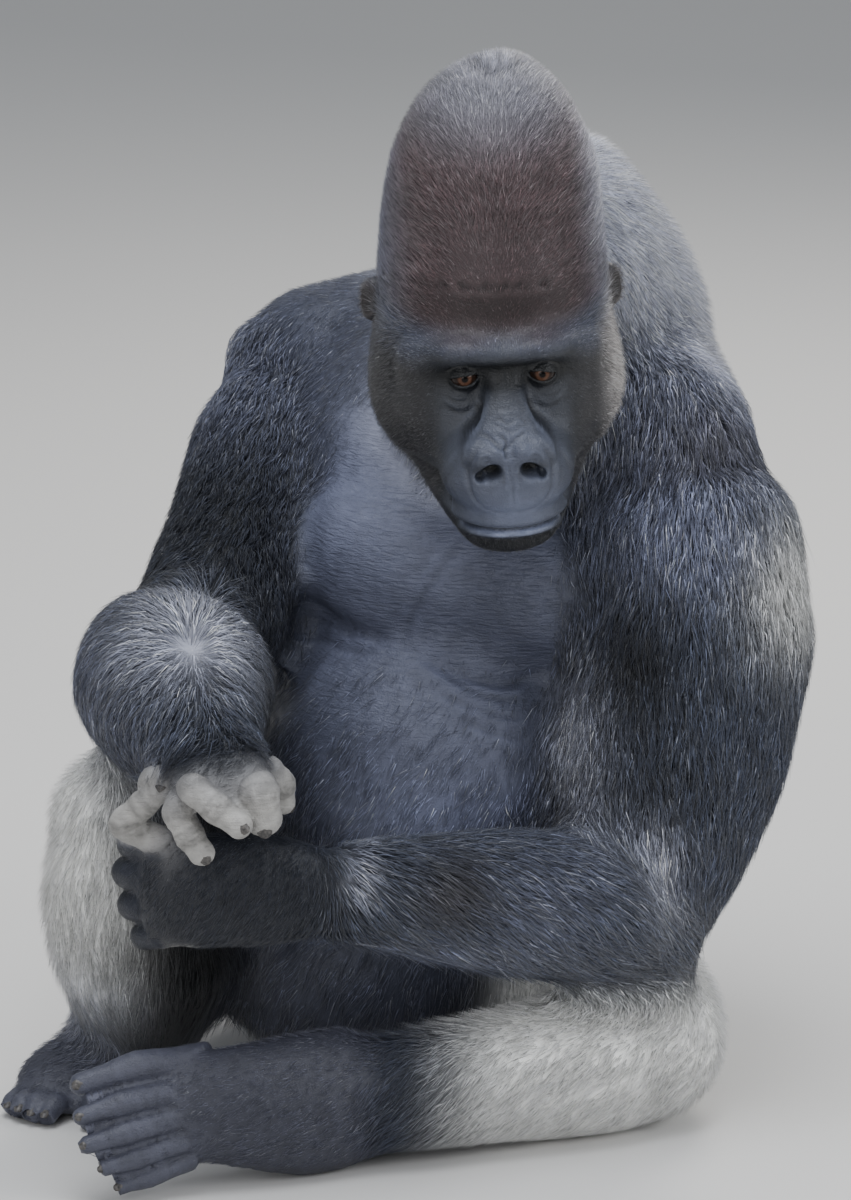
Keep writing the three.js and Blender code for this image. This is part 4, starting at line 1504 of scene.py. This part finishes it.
# %% Making tufts
HAIRS_IN_A_LOCK = 16
ROOT_DEPTH = 1.2  # mm
STRAY_LENGTH, STRAY_FREE = 1.35, 0.45  # how much longer and freer a stray hair is
LIGHT_HAIRS, LIGHT_BRIGHTNESS = 0.14, 2.0  # the part of the hairs that are light, and how light
BRIGHTEST = 0.9
SPINDLE = np.array([[0, 2, 1], [0, 3, 2], [0, 1, 3], [4, 1, 2], [4, 2, 3], [4, 3, 1]])
SPIKE = np.array([[0, 2, 1], [3, 0, 1], [3, 1, 2], [3, 2, 0]])


def tufts(name, weight, count, length, width, height, seed, spread=0.16, lock=0.35, long=True,
          loose=None, thin=0.55, stray_hairs=0.0):
    """One piece of the coat.

    weight: how thickly it grows at each corner; length, width, height: in mm at each corner;
    spread: how far a hair strays from the stream; lock: how strongly neighbours lean together;
    loose: how far the tips hang free of the body, from 0 to 1;
    stray_hairs: the part of the hairs that are longer and stand clear of the rest.
    """
    rng = np.random.default_rng(seed)
    chance = FACE_AREA * weight[net.faces].mean(axis=1)
    faces = rng.choice(len(chance), count, p=chance / chance.sum())
    a, b = rng.random(count), rng.random(count)
    flip = a + b > 1
    a, b = np.where(flip, 1 - a, a), np.where(flip, 1 - b, b)
    mix = np.stack([1 - a - b, a, b], axis=1)
    root = at_roots(places, faces, mix)
    normal = unit(at_roots(normals, faces, mix))
    along = unit(at_roots(lie, faces, mix))
    side = np.cross(along, normal)
    size = at_roots(length, faces, mix) * rng.uniform(0.7, 1.2, count)
    girth = at_roots(width, faces, mix) * rng.uniform(0.75, 1.25, count)
    rise = at_roots(height, faces, mix)
    free = at_roots(loose, faces, mix) if loose is not None else np.zeros(count)
    wild = rng.random(count) < stray_hairs
    size = np.where(wild, size * STRAY_LENGTH, size)
    free = np.clip(np.where(wild, free + STRAY_FREE, free), 0, 0.9)
    waver = 0.5 * np.sin(root @ [0.11, 0.07, 0.05])
    waver = waver + 0.5 * np.sin(root @ [-0.05, 0.12, 0.09] + 1.7)
    stray = rng.normal(0, spread, count) + 0.18 * waver
    along = unit(along + side * stray[:, None])

    # locks: each tuft's tip is drawn towards the line of the nearest lock's middle
    middles = rng.choice(count, max(count // HAIRS_IN_A_LOCK, 1), replace=False)
    finder = KDTree(len(middles))
    for i, m in enumerate(middles):
        finder.insert(root[m], i)
    finder.balance()
    nearest = middles[[finder.find(r)[1] for r in root.tolist()]]
    drawn = (root[nearest] - root) * lock
    sag = np.array([0, 0, -1]) * (free * size * 0.25)[:, None]
    tip = root + along * size[:, None] + drawn + sag
    lift = normal * (free * rise * 0.5)[:, None]
    waist = root + along * (size * 0.4)[:, None] + drawn * 0.25 + lift
    tip_height = rise * rng.uniform(0.45, 1.05, count)
    waist_height = rise * rng.uniform(0.4, 0.75, count)
    if long:
        waist = over_skin(waist, waist_height, free * 0.5)
    tip = over_skin(tip, tip_height, free)
    tip[:, 2] = np.maximum(tip[:, 2], 0.4)
    waist[:, 2] = np.maximum(waist[:, 2], 1.0)
    root = root - normal * ROOT_DEPTH

    line = unit(tip - root)
    up = unit(normal - line * np.sum(normal * line, axis=1, keepdims=True))
    side = np.cross(line, up)
    roll = rng.uniform(0, 2 * math.pi, count)
    ring = []
    for k in range(3):
        turn = roll + k * 2 * math.pi / 3
        wide = side * (np.cos(turn) * girth / 2)[:, None]
        ring.append(wide + up * (np.sin(turn) * girth * thin / 2)[:, None])
    if long:
        corners = np.stack([root, *(waist + r for r in ring), tip], axis=1)
    else:
        corners = np.stack([*(root + r for r in ring), tip], axis=1)
    each = corners.shape[1]
    pattern = (SPINDLE if long else SPIKE)[None]
    triangles = (pattern + np.arange(count)[:, None, None] * each).reshape(-1, 3)

    base = at_roots(coat_colour, faces, mix)
    speckle = at_roots(grizzle, faces, mix)
    luck = rng.normal(0, 1, count)
    bright = np.exp(speckle * 0.6 * luck - 0.18 * speckle ** 2 + 0.12 * waver)
    light = rng.random(count) < speckle * LIGHT_HAIRS
    bright = np.where(light, bright * LIGHT_BRIGHTNESS, bright * (1 - 0.1 * speckle))
    colour = base * bright[:, None]
    grey = colour.mean(axis=1, keepdims=True)
    colour = np.where(light[:, None], colour * 0.4 + grey * 0.6, colour)
    build_piece(name, corners.reshape(-1, 3), triangles, np.repeat(colour, each, axis=0),
                faces, mix, each)


# %% From tufts to a piece
def build_piece(name, corners, triangles, colour, faces, mix, each):
    mesh = bpy.data.meshes.new(name)
    mesh.vertices.add(len(corners))
    mesh.loops.add(len(triangles) * 3)
    mesh.polygons.add(len(triangles))
    mesh.loops.foreach_set("vertex_index", triangles.astype(np.int32).ravel())
    mesh.polygons.foreach_set("loop_start", np.arange(0, len(triangles) * 3, 3, dtype=np.int32))
    mesh.polygons.foreach_set("loop_total", np.full(len(triangles), 3, np.int32))
    mesh.polygons.foreach_set("use_smooth", np.ones(len(triangles), bool))
    put_places(mesh, corners)
    colour_layer(mesh, "marking", np.clip(colour, 0.0, BRIGHTEST))
    # the patch of each tuft on the skin's unwrap
    patch = SKIN_UNWRAP[faces]
    centre = np.sum(patch * mix[:, :, None], axis=1)
    angle = np.arange(each) * 2 * math.pi / each
    ring = np.stack([np.cos(angle), np.sin(angle)], axis=1) * PATCH / 2
    spots = (centre[:, None] + ring[None]).reshape(-1, 2)
    layer = mesh.uv_layers.new(name="OFBake")
    layer.data.foreach_set("uv", spots[triangles.ravel()].astype(np.float32).ravel())
    mesh.validate()
    piece = bpy.data.objects.new(name, mesh)
    bpy.context.scene.collection.objects.link(piece)
    piece.data.materials.append(coat_finish)
    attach(piece, "root")
    print(name, len(triangles), "triangles")


# %% [markdown]
# ## The coat, piece by piece
# The coat is divided as the body is. Short hair stands thick on the head and neck, middling on
# the trunk and legs, and longest on the arms, where it hangs free in a fringe below the elbow and
# forearm. The face, breast and digits stay bare.

# %% Lengths, widths and heights
local = to_head(places)
hx, hy, hz = local.T
is_head = share["head"]
front_face = soft_step(-60, -95, hy) * is_head
hair_length = by_region(
    share, head=13, chest=14, belly=24, neck=17, arm_left=40, forearm_left=42, arm_right=28,
    forearm_right=38, thigh_left=24, shin_left=26, thigh_right=24, shin_right=24, hands=15, feet=13,
    digits=6)
hair_length = hair_length * (1 - 0.55 * front_face)
fringe = is_head * soft_step(84, 108, np.abs(hx)) * soft_step(30, -10, hz)
hair_length = hair_length + 10 * fringe
hair_width = by_region(
    share, head=0.65, chest=0.85, belly=0.85, neck=0.8, arm_left=1.0, forearm_left=1.0,
    arm_right=0.95, forearm_right=1.0, thigh_left=0.95, shin_left=0.95, thigh_right=0.95,
    shin_right=0.95, hands=0.85, feet=0.85, digits=0.7)
hair_height = by_region(
    share, head=5, chest=3.5, belly=8, neck=10, arm_left=14, forearm_left=13, arm_right=12,
    forearm_right=14, thigh_left=12, shin_left=11, thigh_right=12, shin_right=11, hands=5, feet=4,
    digits=1)
hair_height = hair_height * (1 - 0.6 * front_face) * (0.1 + 0.9 * soft_step(4, 40, places[:, 2]))
under = soft_step(-0.35, -0.9, normals[:, 2])
hang = under * 0.8 * (share["forearm_left"] + share["forearm_right"] + share["hands"])
lap = soft_step(0.1, -0.5, normals[:, 2]) * soft_step(150, 110, pz) * soft_step(45, 70, pz)
lap = lap * (share["belly"] + share["thigh_right"] + share["shin_right"]) * soft_step(60, 0, py)
hair_length = hair_length + 22 * lap
hang = hang + 0.8 * lap
print("hair from", hair_length.min().round(), "to", hair_length.max().round(), "mm long")


# %% Growing the coat
def grow(name, weight, triangles, seed, **style):
    """One piece of the coat with about so many triangles; the seed fixes its random draws."""
    count = triangles // len(SPINDLE if style.get("long", True) else SPIKE)
    tufts(name, weight * hairy, count, hair_length, hair_width, hair_height, seed, loose=hang,
          **style)


top_of_head = is_head * soft_step(20, 50, np.maximum(hz, hy + 30))
arm_right = share["arm_right"] + share["forearm_right"]
leg_left, leg_right = (share["thigh_" + side] + share["shin_" + side] for side in ("left", "right"))
behind = soft_step(0.0, 0.5, normals[:, 1])
in_view = 0.5 + 0.5 * soft_step(0.35, -0.15, normals[:, 1])
grow("coat_crown", top_of_head * in_view, 175000, 1, long=False, spread=0.2, lock=0.1)
grow("coat_cheeks", is_head * (1 - top_of_head), 100000, 2, long=False, spread=0.2, lock=0.1)
grow("coat_neck", share["neck"] * in_view, 140000, 3, long=False, spread=0.18, lock=0.2)
grow("coat_back", share["chest"], 115000, 4, long=False, spread=0.18, lock=0.2)
grow("coat_belly", share["belly"] * (1 - 0.7 * behind), 95000, 5, long=False, spread=0.2)
grow("coat_rump", share["belly"] * behind, 60000, 6, long=False, spread=0.2)
grow("coat_arm_right", arm_right * in_view, 175000, 7, stray_hairs=0.03)
grow("coat_arm_left", share["arm_left"] * in_view, 190000, 8, lock=0.45, stray_hairs=0.06)
grow("coat_forearm_left", share["forearm_left"], 150000, 9, stray_hairs=0.06)
grow("coat_leg_left", leg_left * in_view, 115000, 10, long=False)
grow("coat_leg_right", leg_right * in_view, 105000, 11, long=False)
grow("coat_hands", share["hands"] + shaded_curled_digits, 45000, 12, long=False)
grow("coat_feet", share["feet"] + toes, 60000, 13, long=False)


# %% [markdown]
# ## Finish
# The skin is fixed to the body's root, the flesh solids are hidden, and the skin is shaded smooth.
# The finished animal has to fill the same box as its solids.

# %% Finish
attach(skin, "root")
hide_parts(*FLESH)
select_only(skin)
bpy.ops.object.shade_smooth()
